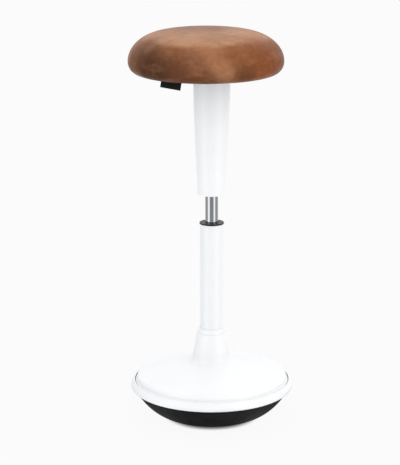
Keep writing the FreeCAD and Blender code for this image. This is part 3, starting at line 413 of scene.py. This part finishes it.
def hard_chrome():
    """Hard chrome on the ground cylinder: a mirror with hairline grinding marks round it."""
    material, tree, shader, where = new_material("hard_chrome", Metallic=1.0, Roughness=0.09)
    shader.inputs["Base Color"].default_value = linear("D2D5D8")
    stretched = add(tree, "ShaderNodeMapping", {"Vector": where})
    stretched.inputs["Scale"].default_value = (1.0, 1.0, 60.0)
    lines = add(tree, "ShaderNodeTexNoise", {"Vector": stretched.outputs["Vector"]},
                Scale=per_metre(30), Detail=3.0)
    bump = add(tree, "ShaderNodeBump", {"Height": lines.outputs["Fac"]}, Strength=0.06, Distance=0.0001)
    tree.links.new(bump.outputs["Normal"], shader.inputs["Normal"])
    return material


def black_nylon():
    """Glass-filled nylon: black, satin, with a fine moulded grain."""
    material, tree, shader, where = new_material("black_nylon", Roughness=0.38, IOR=1.53,
                                                 Specular_IOR_Level=0.35)
    grain = add(tree, "ShaderNodeTexNoise", {"Vector": where}, Scale=per_metre(0.8), Detail=2.0)
    colour = ramp(tree, grain.outputs["Fac"], [(0.3, "0B0C0C"), (0.7, "121313")])
    tree.links.new(colour, shader.inputs["Base Color"])
    bump = add(tree, "ShaderNodeBump", {"Height": grain.outputs["Fac"]}, Strength=0.2, Distance=0.0001)
    tree.links.new(bump.outputs["Normal"], shader.inputs["Normal"])
    return material


def zinc_plated_steel():
    """Zinc-plated steel: grey with a faint yellow and blue cloud, satin."""
    material, tree, shader, where = new_material("zinc_plated_steel", Metallic=1.0, Roughness=0.34)
    cloud = add(tree, "ShaderNodeTexNoise", {"Vector": where}, Scale=per_metre(6), Detail=4.0)
    colour = ramp(tree, cloud.outputs["Fac"], [(0.3, "A9AEB5"), (0.55, "BDBFBF"), (0.75, "C2BDAE")])
    tree.links.new(colour, shader.inputs["Base Color"])
    return material


def black_powder_coat():
    """Black polyester powder coat on pressed steel: satin with a fine leathery orange peel."""
    material, tree, shader, where = new_material("black_powder_coat", Roughness=0.45, IOR=1.5)
    shader.inputs["Base Color"].default_value = linear("1D1D1E")
    peel = add(tree, "ShaderNodeTexNoise", {"Vector": where}, Scale=per_metre(0.9), Detail=2.0)
    bump = add(tree, "ShaderNodeBump", {"Height": peel.outputs["Fac"]}, Strength=0.3, Distance=0.0002)
    tree.links.new(bump.outputs["Normal"], shader.inputs["Normal"])
    return material


def machined_brass():
    """Turned brass of the threaded inserts, slightly dulled."""
    material, tree, shader, where = new_material("machined_brass", Metallic=1.0, Roughness=0.3)
    cloud = add(tree, "ShaderNodeTexNoise", {"Vector": where}, Scale=per_metre(4), Detail=3.0)
    colour = ramp(tree, cloud.outputs["Fac"], [(0.3, "C49A52"), (0.7, "D8B26B")])
    tree.links.new(colour, shader.inputs["Base Color"])
    return material


def grey_cast_iron():
    """Sand-cast grey iron: dark, rough, grainy."""
    material, tree, shader, where = new_material("grey_cast_iron", Metallic=0.6, Roughness=0.75)
    grain = add(tree, "ShaderNodeTexNoise", {"Vector": where}, Scale=per_metre(2), Detail=5.0)
    colour = ramp(tree, grain.outputs["Fac"], [(0.3, "3A3A3B"), (0.7, "58585A")])
    tree.links.new(colour, shader.inputs["Base Color"])
    bump = add(tree, "ShaderNodeBump", {"Height": grain.outputs["Fac"]}, Strength=0.5, Distance=0.0006)
    tree.links.new(bump.outputs["Normal"], shader.inputs["Normal"])
    return material


def birch_plywood():
    """Birch plywood: pale veneer with long figure."""
    material, tree, shader, where = new_material("birch_plywood", Roughness=0.6)
    stretched = add(tree, "ShaderNodeMapping", {"Vector": where})
    stretched.inputs["Scale"].default_value = (1.0, 14.0, 14.0)
    figure = add(tree, "ShaderNodeTexNoise", {"Vector": stretched.outputs["Vector"]},
                 Scale=per_metre(60), Detail=4.0)
    colour = ramp(tree, figure.outputs["Fac"], [(0.3, "C7A272"), (0.7, "E0C397")])
    tree.links.new(colour, shader.inputs["Base Color"])
    return material


def nonwoven_polypropylene():
    """Spun-bonded polypropylene of the dust cover: black, with a grid of bonding dots about 2 mm apart."""
    material, tree, shader, where = new_material("nonwoven_polypropylene", Roughness=0.85, Sheen_Weight=0.2)
    dots = add(tree, "ShaderNodeTexVoronoi", {"Vector": where}, Scale=per_metre(2.0), Randomness=0.1)
    colour = ramp(tree, dots.outputs["Distance"], [(0.15, "151516"), (0.45, "2C2C2E")])
    tree.links.new(colour, shader.inputs["Base Color"])
    bump = add(tree, "ShaderNodeBump", {"Height": dots.outputs["Distance"]}, Strength=0.5, Distance=0.0003)
    tree.links.new(bump.outputs["Normal"], shader.inputs["Normal"])
    return material


def woven_polyester_satin():
    """Woven polyester label cloth: black and dull, with fine diagonal ribs."""
    material, tree, shader, where = new_material("woven_polyester_satin", Roughness=0.7,
                                                 Specular_IOR_Level=0.2)
    ribs = add(tree, "ShaderNodeTexWave", {"Vector": where},
               bands_direction="DIAGONAL", Scale=per_metre(5.5))
    colour = ramp(tree, ribs.outputs["Fac"], [(0.2, "0E0D0D"), (0.8, "1D1B1B")])
    tree.links.new(colour, shader.inputs["Base Color"])
    bump = add(tree, "ShaderNodeBump", {"Height": ribs.outputs["Fac"]}, Strength=0.4, Distance=0.0002)
    tree.links.new(bump.outputs["Normal"], shader.inputs["Normal"])
    return material


def moulded_foam():
    """Cold-cure polyurethane foam: cream, open pores."""
    material, tree, shader, where = new_material("moulded_foam", Roughness=0.95)
    pores = add(tree, "ShaderNodeTexVoronoi", {"Vector": where}, Scale=per_metre(1.5))
    # The darker pores are painted shade
    colour = ramp(tree, pores.outputs["Distance"], [(0.1, "CFC59B"), (0.6, "E9E1BD")])
    tree.links.new(colour, shader.inputs["Base Color"])
    return material


def tinted(tree, factor, colour, hex_code):
    """Blend a colour towards a plain one, by a factor that another node gives."""
    mixed = add(tree, "ShaderNodeMix", {"Factor": factor, 6: colour}, data_type="RGBA")
    mixed.inputs[7].default_value = linear(hex_code)
    return mixed.outputs[2]


def wear_and_light_patch(tree, where, colour, patch):
    """Blend a soft round patch of another colour into a colour."""
    centre, radius, patch_colour, strength = patch
    away = add(tree, "ShaderNodeVectorMath", {0: where}, operation="DISTANCE")
    away.inputs[1].default_value = centre
    share = add(tree, "ShaderNodeMapRange", {"Value": away.outputs["Value"]},
                interpolation_type="SMOOTHSTEP", From_Min=PATCH_CORE * radius, From_Max=radius,
                To_Min=strength, To_Max=0.0)
    return tinted(tree, share.outputs["Result"], colour, patch_colour)


def pull_up_leather():
    """Waxed pull-up leather, drum-dyed brown. The wax gives it clouds of light and dark, its top is painted
    paler as if lit from above, patches of painted shade lie low on the front and on the left and of painted
    light on the right side, it is scuffed round the sides, and the pebbled grain is drawn at 2 mm, a little
    coarser than real."""
    material, tree, shader, where = new_material("pull_up_leather", IOR=1.5, Specular_IOR_Level=0.12)
    drift = add(tree, "ShaderNodeTexNoise", {"Vector": where}, Scale=per_metre(60), Detail=2.0)
    wander = add(tree, "ShaderNodeMix", {4: where, 5: drift.outputs["Color"]},
                 data_type="VECTOR", Factor=0.022)
    bent = wander.outputs[1]
    cloud = add(tree, "ShaderNodeTexNoise", {"Vector": where},
                Scale=per_metre(75), Detail=5.0, Roughness=0.55)
    body = ramp(tree, cloud.outputs["Fac"], [
        (0.34, "86502F"), (0.48, "985E39"), (0.60, "A66C45"), (0.74, "B37C56")])
    # Painted light: above these heights the leather turns paler, as the top would under light from above
    height = add(tree, "ShaderNodeSeparateXYZ", {"Vector": bent}).outputs["Z"]
    lit_top_share = add(tree, "ShaderNodeMapRange", {"Value": height}, interpolation_type="SMOOTHSTEP",
                 From_Min=LIT_TOP_FROM, From_Max=LIT_TOP_TO)
    top_cloud = add(tree, "ShaderNodeTexNoise", {"Vector": where},
                    Scale=per_metre(48), Detail=4.0, Roughness=0.6)
    top = ramp(tree, top_cloud.outputs["Fac"], [(0.33, "B07C59"), (0.5, "BC8965"), (0.68, "C89775")])
    body_with_lit_top = add(tree, "ShaderNodeMix", {"Factor": lit_top_share.outputs["Result"], 6: body, 7: top},
                      data_type="RGBA")
    colour = body_with_lit_top.outputs[2]
    # Patches of wear, of painted shade low on the front and left, and of painted light on the right side
    for patch in WEAR_AND_LIGHT_PATCHES:
        colour = wear_and_light_patch(tree, bent, colour, patch)
    mottle = add(tree, "ShaderNodeTexNoise", {"Vector": where},
                 Scale=per_metre(9), Detail=4.0, Roughness=0.65)
    fleck = ramp(tree, mottle.outputs["Fac"], [(0.3, "B4B4B4"), (0.5, "D8D8D8"), (0.72, "FFFFFF")])
    mottled = add(tree, "ShaderNodeMix", {6: colour, 7: fleck},
                  data_type="RGBA", blend_type="MULTIPLY", Factor=0.45)
    along = add(tree, "ShaderNodeMapping", {"Vector": where})
    along.inputs["Scale"].default_value = (1.0, 1.0, 2.2)
    scuff = add(tree, "ShaderNodeTexNoise", {"Vector": along.outputs["Vector"]},
                Scale=per_metre(48), Detail=5.0, Roughness=0.6)
    scuffed = add(tree, "ShaderNodeMapRange", {"Value": scuff.outputs["Fac"]},
                  From_Min=0.50, From_Max=0.72, To_Max=0.32)
    finished = tinted(tree, scuffed.outputs["Result"], mottled.outputs[2], "B07A58")
    tree.links.new(finished, shader.inputs["Base Color"])
    gloss = add(tree, "ShaderNodeMapRange", {"Value": cloud.outputs["Fac"]}, From_Min=0.3, From_Max=0.7,
                To_Min=0.50, To_Max=0.38)
    tree.links.new(gloss.outputs["Result"], shader.inputs["Roughness"])
    grain = add(tree, "ShaderNodeTexVoronoi", {"Vector": where}, feature="SMOOTH_F1", Scale=per_metre(2.0))
    crease = add(tree, "ShaderNodeTexNoise", {"Vector": where}, Scale=per_metre(14), Detail=4.0)
    relief = add(tree, "ShaderNodeMath", {0: crease.outputs["Fac"]}, operation="MULTIPLY_ADD")
    relief.inputs[1].default_value = 1.6
    tree.links.new(grain.outputs["Distance"], relief.inputs[2])
    bump = add(tree, "ShaderNodeBump", {"Height": relief.outputs[0]}, Strength=0.35, Distance=0.0004)
    tree.links.new(bump.outputs["Normal"], shader.inputs["Normal"])
    return material


FINISHES = {
    "white_plastic": moulded_gloss_abs(),
    "white_paint": gloss_enamel_on_steel(),
    "plain_steel": zinc_plated_steel(),
    "chrome_plate": hard_chrome(),
    "black_rubber": moulded_rubber(),
    "black_plastic": black_nylon(),
    "black_paint": black_powder_coat(),
    "brass": machined_brass(),
    "cast_iron": grey_cast_iron(),
    "plywood": birch_plywood(),
    "black_cloth": nonwoven_polypropylene(),
    "foam": moulded_foam(),
    "brown_leather": pull_up_leather(),
}
LABEL_CLOTH = woven_polyester_satin()


def finish_cad_nodes():
    """Put each node's finish on its material slots."""
    for subpart in frame["record"]["subparts"]:
        obj = frame["nodes"][subpart["node"]]
        finish = LABEL_CLOTH if subpart["node"] == "label_tab" else FINISHES[subpart["material_slot"]]
        for slot in obj.material_slots:
            slot.material = finish


finish_cad_nodes()


def traced(name, outline):
    """A line of edges through (radius, height) points above the X axis, drawn by extruding one vertex and
    left in edit mode."""
    clear_selection()
    bpy.ops.mesh.primitive_plane_add(size=0.001, location=(outline[0][0], 0.0, outline[0][1]))
    line = bpy.context.object
    line.name = name
    bpy.ops.object.transform_apply(location=True)
    bpy.ops.object.mode_set(mode="EDIT")
    bpy.ops.mesh.merge(type="CENTER")
    for (radius, height), (next_radius, next_height) in zip(outline, outline[1:]):
        step = (next_radius - radius, 0.0, next_height - height)
        bpy.ops.mesh.extrude_region_move(TRANSFORM_OT_translate={"value": step})
    return line


def spun(name, outline, steps):
    """Spin an outline round the column into a closed surface."""
    piece = traced(name, outline)
    bpy.ops.mesh.select_all(action="SELECT")
    bpy.ops.mesh.spin(steps=steps, angle=2 * math.pi, center=(0, 0, 0), axis=(0, 0, 1))
    bpy.ops.mesh.select_all(action="SELECT")
    bpy.ops.mesh.remove_doubles(threshold=1e-5)
    bpy.ops.mesh.normals_make_consistent(inside=False)
    bpy.ops.object.mode_set(mode="OBJECT")
    return piece


def settled(piece):
    """Write a piece's place and turn into its mesh, and leave its object at the origin."""
    select_only(piece)
    bpy.ops.object.transform_apply(location=True, rotation=True, scale=True)


def smoothed(piece, angle):
    """Shade a piece smooth, except at edges that turn by more than an angle in degrees."""
    select_only(piece)
    bpy.ops.object.shade_smooth_by_angle(angle=math.radians(angle))


def apply_modifier(piece, kind, **settings):
    """Add a modifier and apply it."""
    select_only(piece)
    modifier = piece.modifiers.new(kind.lower(), kind)
    for name, value in settings.items():
        setattr(modifier, name, value)
    bpy.ops.object.modifier_apply(modifier=modifier.name)


def seat_sizes():
    """The seat's bottom and crest heights, its radius and its centre's X, from the box of its solid."""
    low, high = (Vector(corner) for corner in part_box("leather_cover"))
    return low.z, high.z, (high.x - low.x) / 2, (high.x + low.x) / 2


SEAT_BOTTOM, SEAT_CREST, SEAT_RADIUS, SEAT_CENTRE = seat_sizes()
BOTTOM_RADIUS = SEAT_RADIUS - SEAT_UNDERCUT
TUCK_RADIUS = BOTTOM_RADIUS - LEATHER_TUCK


def seat_outline():
    """The cushion's outline: flat underneath, drawn in below its widest line, and flat on its crest."""
    steps = SEAT_OUTLINE_STEPS
    widest_height = SEAT_BOTTOM + SEAT_WIDEST_RISE
    outline = [(BOTTOM_RADIUS * step / steps, SEAT_BOTTOM) for step in range(steps)]
    for step in range(steps):
        angle = math.pi / 2 * step / steps
        across = math.sin(angle) ** SEAT_FULLNESS
        drop = math.cos(angle) ** SEAT_FULLNESS
        depth = SEAT_WIDEST_RISE + SEAT_LOWER_BULGE * math.sin(2 * angle)
        outline.append((BOTTOM_RADIUS + SEAT_UNDERCUT * across, widest_height - depth * drop))
    for step in range(2 * steps):
        angle = math.pi / 4 * step / steps
        outline.append((SEAT_CREST_RADIUS + (SEAT_RADIUS - SEAT_CREST_RADIUS) * math.cos(angle),
                        widest_height + (SEAT_CREST - widest_height) * math.sin(angle)))
    for step in range(steps + 1):
        outline.append((SEAT_CREST_RADIUS * (1 - step / steps), SEAT_CREST))
    return outline


def stuffed(piece, hold_below, free_above):
    """Let the stuffing push the leather out: a short cloth simulation with inner pressure, stapled along
    the lower edge, in which no point may move further than the cap."""
    before = [vertex.co.copy() for vertex in piece.data.vertices]
    stapled = piece.vertex_groups.new(name="stapled")
    for vertex in piece.data.vertices:
        hold = (free_above - vertex.co.z) / (free_above - hold_below)
        stapled.add([vertex.index], min(max(hold, 0.0), 1.0), "REPLACE")
    select_only(piece)
    cloth = piece.modifiers.new("stuffing", "CLOTH")
    cloth.settings.quality = 6
    cloth.settings.mass = 0.3
    cloth.settings.tension_stiffness = 15.0
    cloth.settings.compression_stiffness = 15.0
    cloth.settings.bending_stiffness = 5.0
    cloth.settings.use_pressure = True
    cloth.settings.uniform_pressure_force = STUFFING_PRESSURE
    cloth.settings.vertex_group_mass = "stapled"
    cloth.settings.effector_weights.gravity = 0.0
    for frame_number in range(1, STUFFING_FRAMES + 1):
        bpy.context.scene.frame_set(frame_number)
    bpy.ops.object.modifier_apply(modifier=cloth.name)
    bpy.context.scene.frame_set(1)
    piece.vertex_groups.clear()
    for vertex, start in zip(piece.data.vertices, before):
        move = vertex.co - start
        if move.length > SWELL_CAP:
            vertex.co = start + move * (SWELL_CAP / move.length)


def gathered_underneath(piece):
    """Fold the leather that is pulled under the board into small radial pleats."""
    for vertex in piece.data.vertices:
        across = vertex.co.x - SEAT_CENTRE
        radius = math.hypot(across, vertex.co.y)
        if vertex.co.z > SEAT_BOTTOM + LEATHER_THICKNESS or radius > BOTTOM_RADIUS:
            continue
        angle = math.atan2(vertex.co.y, across)
        uneven = noise.noise(Vector((math.cos(angle), math.sin(angle), 0.0)) * PLEAT_WANDER_SCALE)
        fold = abs(math.sin(PLEAT_COUNT * angle + PLEAT_WANDER * uneven)) ** PLEAT_BREADTH
        inward = min(max((BOTTOM_RADIUS - radius) / LEATHER_TUCK, 0.0), 1.0)
        vertex.co.z -= PLEAT_DEPTH * fold * inward


def board_pocket():
    """The space that the board takes in the cushion, open below inside the tucked leather."""
    board_low, board_high = (Vector(corner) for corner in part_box("seat_board"))
    board_radius = (board_high.x - board_low.x) / 2 + BOARD_FIT
    board_top = board_high.z + BOARD_FIT
    foot = SEAT_BOTTOM - POCKET_DROP
    pocket = spun("board_pocket", [
        (0.0, foot), (TUCK_RADIUS, foot), (TUCK_RADIUS, board_low.z), (board_radius, board_low.z),
        (board_radius, board_top), (0.0, board_top)], SEAT_FACETS)
    pocket.location.x = SEAT_CENTRE
    settled(pocket)
    return pocket


def make_leather_cushion():
    """Leather over stuffing as one closed skin, hollow only where the board sits in it."""
    cushion = spun("leather_cushion", seat_outline(), SEAT_FACETS)
    cushion.location.x = SEAT_CENTRE
    settled(cushion)
    apply_modifier(cushion, "REMESH", mode="VOXEL", voxel_size=CUSHION_VOXEL)
    stuffed(cushion, SEAT_BOTTOM + HELD_BELOW, SEAT_BOTTOM + FREE_ABOVE)
    apply_modifier(cushion, "SUBSURF", levels=1, render_levels=1)
    gathered_underneath(cushion)
    pocket = board_pocket()
    apply_modifier(cushion, "BOOLEAN", operation="DIFFERENCE", object=pocket, solver="EXACT")
    bpy.data.objects.remove(pocket)
    smoothed(cushion, CUSHION_SMOOTH_ANGLE)
    covered(cushion, FINISHES["brown_leather"])
    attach(cushion, "seat_post")
    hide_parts("leather_cover", "cushion_foam")


def ball_height(radius):
    """Height above the floor of the sole's flat patch and, outside it, of its ball-shaped part."""
    if radius <= SOLE_PATCH_RADIUS:
        return 0.0
    rise = math.sqrt(SOLE_BALL_RADIUS ** 2 - SOLE_PATCH_RADIUS ** 2)
    return rise - math.sqrt(SOLE_BALL_RADIUS ** 2 - radius ** 2)


def make_rubber_sole():
    """The rolling sole as a thick rubber bowl: its flare swells a little between the ball and the rim."""
    low, high = (Vector(corner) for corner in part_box("rocker_sole"))
    rim_radius = (high.x - low.x) / 2
    start = Vector((SOLE_SWELL_START, ball_height(SOLE_SWELL_START)))
    end = Vector((rim_radius - SOLE_RIM_TAPER, high.z))
    start_angle = math.asin(SOLE_SWELL_START / SOLE_BALL_RADIUS)
    rim_angle = math.radians(SOLE_RIM_ANGLE)
    near_start = start + SOLE_SWELL_REACH * Vector((math.cos(start_angle), math.sin(start_angle)))
    near_end = end - SOLE_RIM_REACH * Vector((math.cos(rim_angle), math.sin(rim_angle)))
    ball_width = SOLE_SWELL_START - SOLE_PATCH_RADIUS
    ball_radii = [SOLE_PATCH_RADIUS + ball_width * step / SOLE_BALL_STEPS
                  for step in range(SOLE_BALL_STEPS)]
    outer = [(0.0, 0.0)] + [(radius, ball_height(radius)) for radius in ball_radii]
    for step in range(SOLE_SWELL_STEPS + 1):
        share = step / SOLE_SWELL_STEPS
        rest = 1 - share
        point = (rest ** 3 * start + 3 * rest ** 2 * share * near_start
                 + 3 * rest * share ** 2 * near_end + share ** 3 * end)
        outer.append((point.x, point.y))
    flare = math.radians(SOLE_FLARE_ANGLE)
    inner_rim = rim_radius - SOLE_SKIN / math.sin(flare)
    fold = SOLE_SWELL_START
    while high.z - (inner_rim - fold) * math.tan(flare) < ball_height(fold) + SOLE_SKIN:
        fold += SOLE_FOLD_STEP
    inner = [(inner_rim, high.z), (fold, ball_height(fold) + SOLE_SKIN)]
    inner += [(radius, ball_height(radius) + SOLE_SKIN) for radius in (*reversed(ball_radii), 0.0)]
    sole = spun("rubber_sole", outer + inner, SOLE_FACETS)
    smoothed(sole, SOLE_SMOOTH_ANGLE)
    covered(sole, FINISHES["black_rubber"])
    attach(sole, "base")
    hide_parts("rocker_sole")


def make_dust_cover():
    """Black cloth under the board, held by the plate's bolts and a little slack in between."""
    low, high = (Vector(corner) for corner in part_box("dust_cover"))
    radius = (high.x - low.x) / 2
    top = high.z - DUST_CLOTH_THICKNESS / 2
    line = []
    for step in range(DUST_CLOTH_STEPS + 1):
        share = step / DUST_CLOTH_STEPS
        line.append((radius * share, top - DUST_CLOTH_SAG * math.sin(math.pi * share) ** 2))
    cover = spun("dust_cover_cloth", line, DUST_CLOTH_FACETS)
    cover.location.x = (high.x + low.x) / 2
    settled(cover)
    apply_modifier(cover, "SOLIDIFY", thickness=DUST_CLOTH_THICKNESS, offset=0.0)
    covered(cover, FINISHES["black_cloth"])
    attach(cover, "seat_post")
    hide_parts("dust_cover")


def extruded_strip(name, line, width, steps):
    """Pull a traced line sideways into a strip centred on the X axis."""
    strip = traced(name, line)
    bpy.ops.mesh.select_all(action="SELECT")
    for _ in range(steps):
        bpy.ops.mesh.extrude_region_move(TRANSFORM_OT_translate={"value": (0.0, width / steps, 0.0)})
    bpy.ops.object.mode_set(mode="OBJECT")
    strip.location.y = -width / 2
    settled(strip)
    return strip


def make_woven_label():
    """A strip of woven label cloth, folded double over its lower edge, its ends sewn in under the seat."""
    gap = LABEL_HALF_GAP
    top = SEAT_BOTTOM - LABEL_SEAT_GAP
    layer_height = LABEL_DROP + LABEL_TRIM - gap
    layer = [(gap, LABEL_TRIM - layer_height * step / LABEL_DROP_STEPS)
             for step in range(LABEL_DROP_STEPS + 1)]
    fold = [(gap * math.cos(math.radians(turn)), gap - LABEL_DROP - gap * math.sin(math.radians(turn)))
            for turn in LABEL_FOLD_TURNS]
    line = layer + fold + [(-across, height) for across, height in reversed(layer)]
    label = extruded_strip("woven_label", line, LABEL_WIDTH, LABEL_WIDTH_STEPS)
    for vertex in label.data.vertices:
        curl = (vertex.co.y / (LABEL_WIDTH / 2)) ** 2 * (LABEL_TRIM - vertex.co.z) / LABEL_DROP
        vertex.co.x += LABEL_CURL * curl
    label.matrix_world = (Matrix.Translation((SEAT_CENTRE, 0.0, top))
                          @ Matrix.Rotation(math.radians(LABEL_ANGLE), 4, "Z")
                          @ Matrix.Translation((0.0, LABEL_INSET - BOTTOM_RADIUS, 0.0))
                          @ Matrix.Rotation(math.radians(-LABEL_LEAN), 4, "X")
                          @ Matrix.Rotation(math.radians(LABEL_TWIST), 4, "Y")
                          @ Matrix.Rotation(math.radians(90), 4, "Z"))
    settled(label)
    bpy.ops.object.mode_set(mode="EDIT")
    bpy.ops.mesh.select_all(action="SELECT")
    bpy.ops.mesh.bisect(plane_co=(0.0, 0.0, top), plane_no=(0.0, 0.0, 1.0), clear_outer=True)
    bpy.ops.object.mode_set(mode="OBJECT")
    apply_modifier(label, "SOLIDIFY", thickness=LABEL_THICKNESS, offset=0.0)
    covered(label, LABEL_CLOTH)
    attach(label, "seat_post")
    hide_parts("label_tab")


def make_staples():
    """Flat-wire staples that hold the gathered leather, each turned a little differently."""
    ring = BOTTOM_RADIUS - STAPLE_INSET
    height = SEAT_BOTTOM - PLEAT_DEPTH - STAPLE_SUNK
    half = STAPLE_CROWN / 2
    leg = [(half - STAPLE_BEND, 0.0), (half - STAPLE_CORNER, STAPLE_CORNER), (half, STAPLE_BEND),
           (half, STAPLE_LEG)]
    line = [(-across, rise) for across, rise in reversed(leg)] + leg
    for number in range(STAPLE_COUNT):
        staple = extruded_strip("staple_%02d" % number, line, STAPLE_WIRE, 1)
        apply_modifier(staple, "SOLIDIFY", thickness=STAPLE_WIRE_DEPTH, offset=0.0)
        uneven = noise.noise(Vector((number * 1.7, 0.3, 0.0)))
        angle = 2 * math.pi * (number + STAPLE_SLANT * uneven) / STAPLE_COUNT
        staple.matrix_world = (Matrix.Translation((SEAT_CENTRE, 0.0, height))
                               @ Matrix.Rotation(angle, 4, "Z")
                               @ Matrix.Translation((0.0, -ring - STAPLE_DRIFT * uneven, 0.0))
                               @ Matrix.Rotation(STAPLE_SLANT * uneven, 4, "Z"))
        settled(staple)
        covered(staple, FINISHES["plain_steel"])
        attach(staple, "seat_post")


make_rubber_sole()
make_leather_cushion()
make_dust_cover()
make_woven_label()
make_staples()
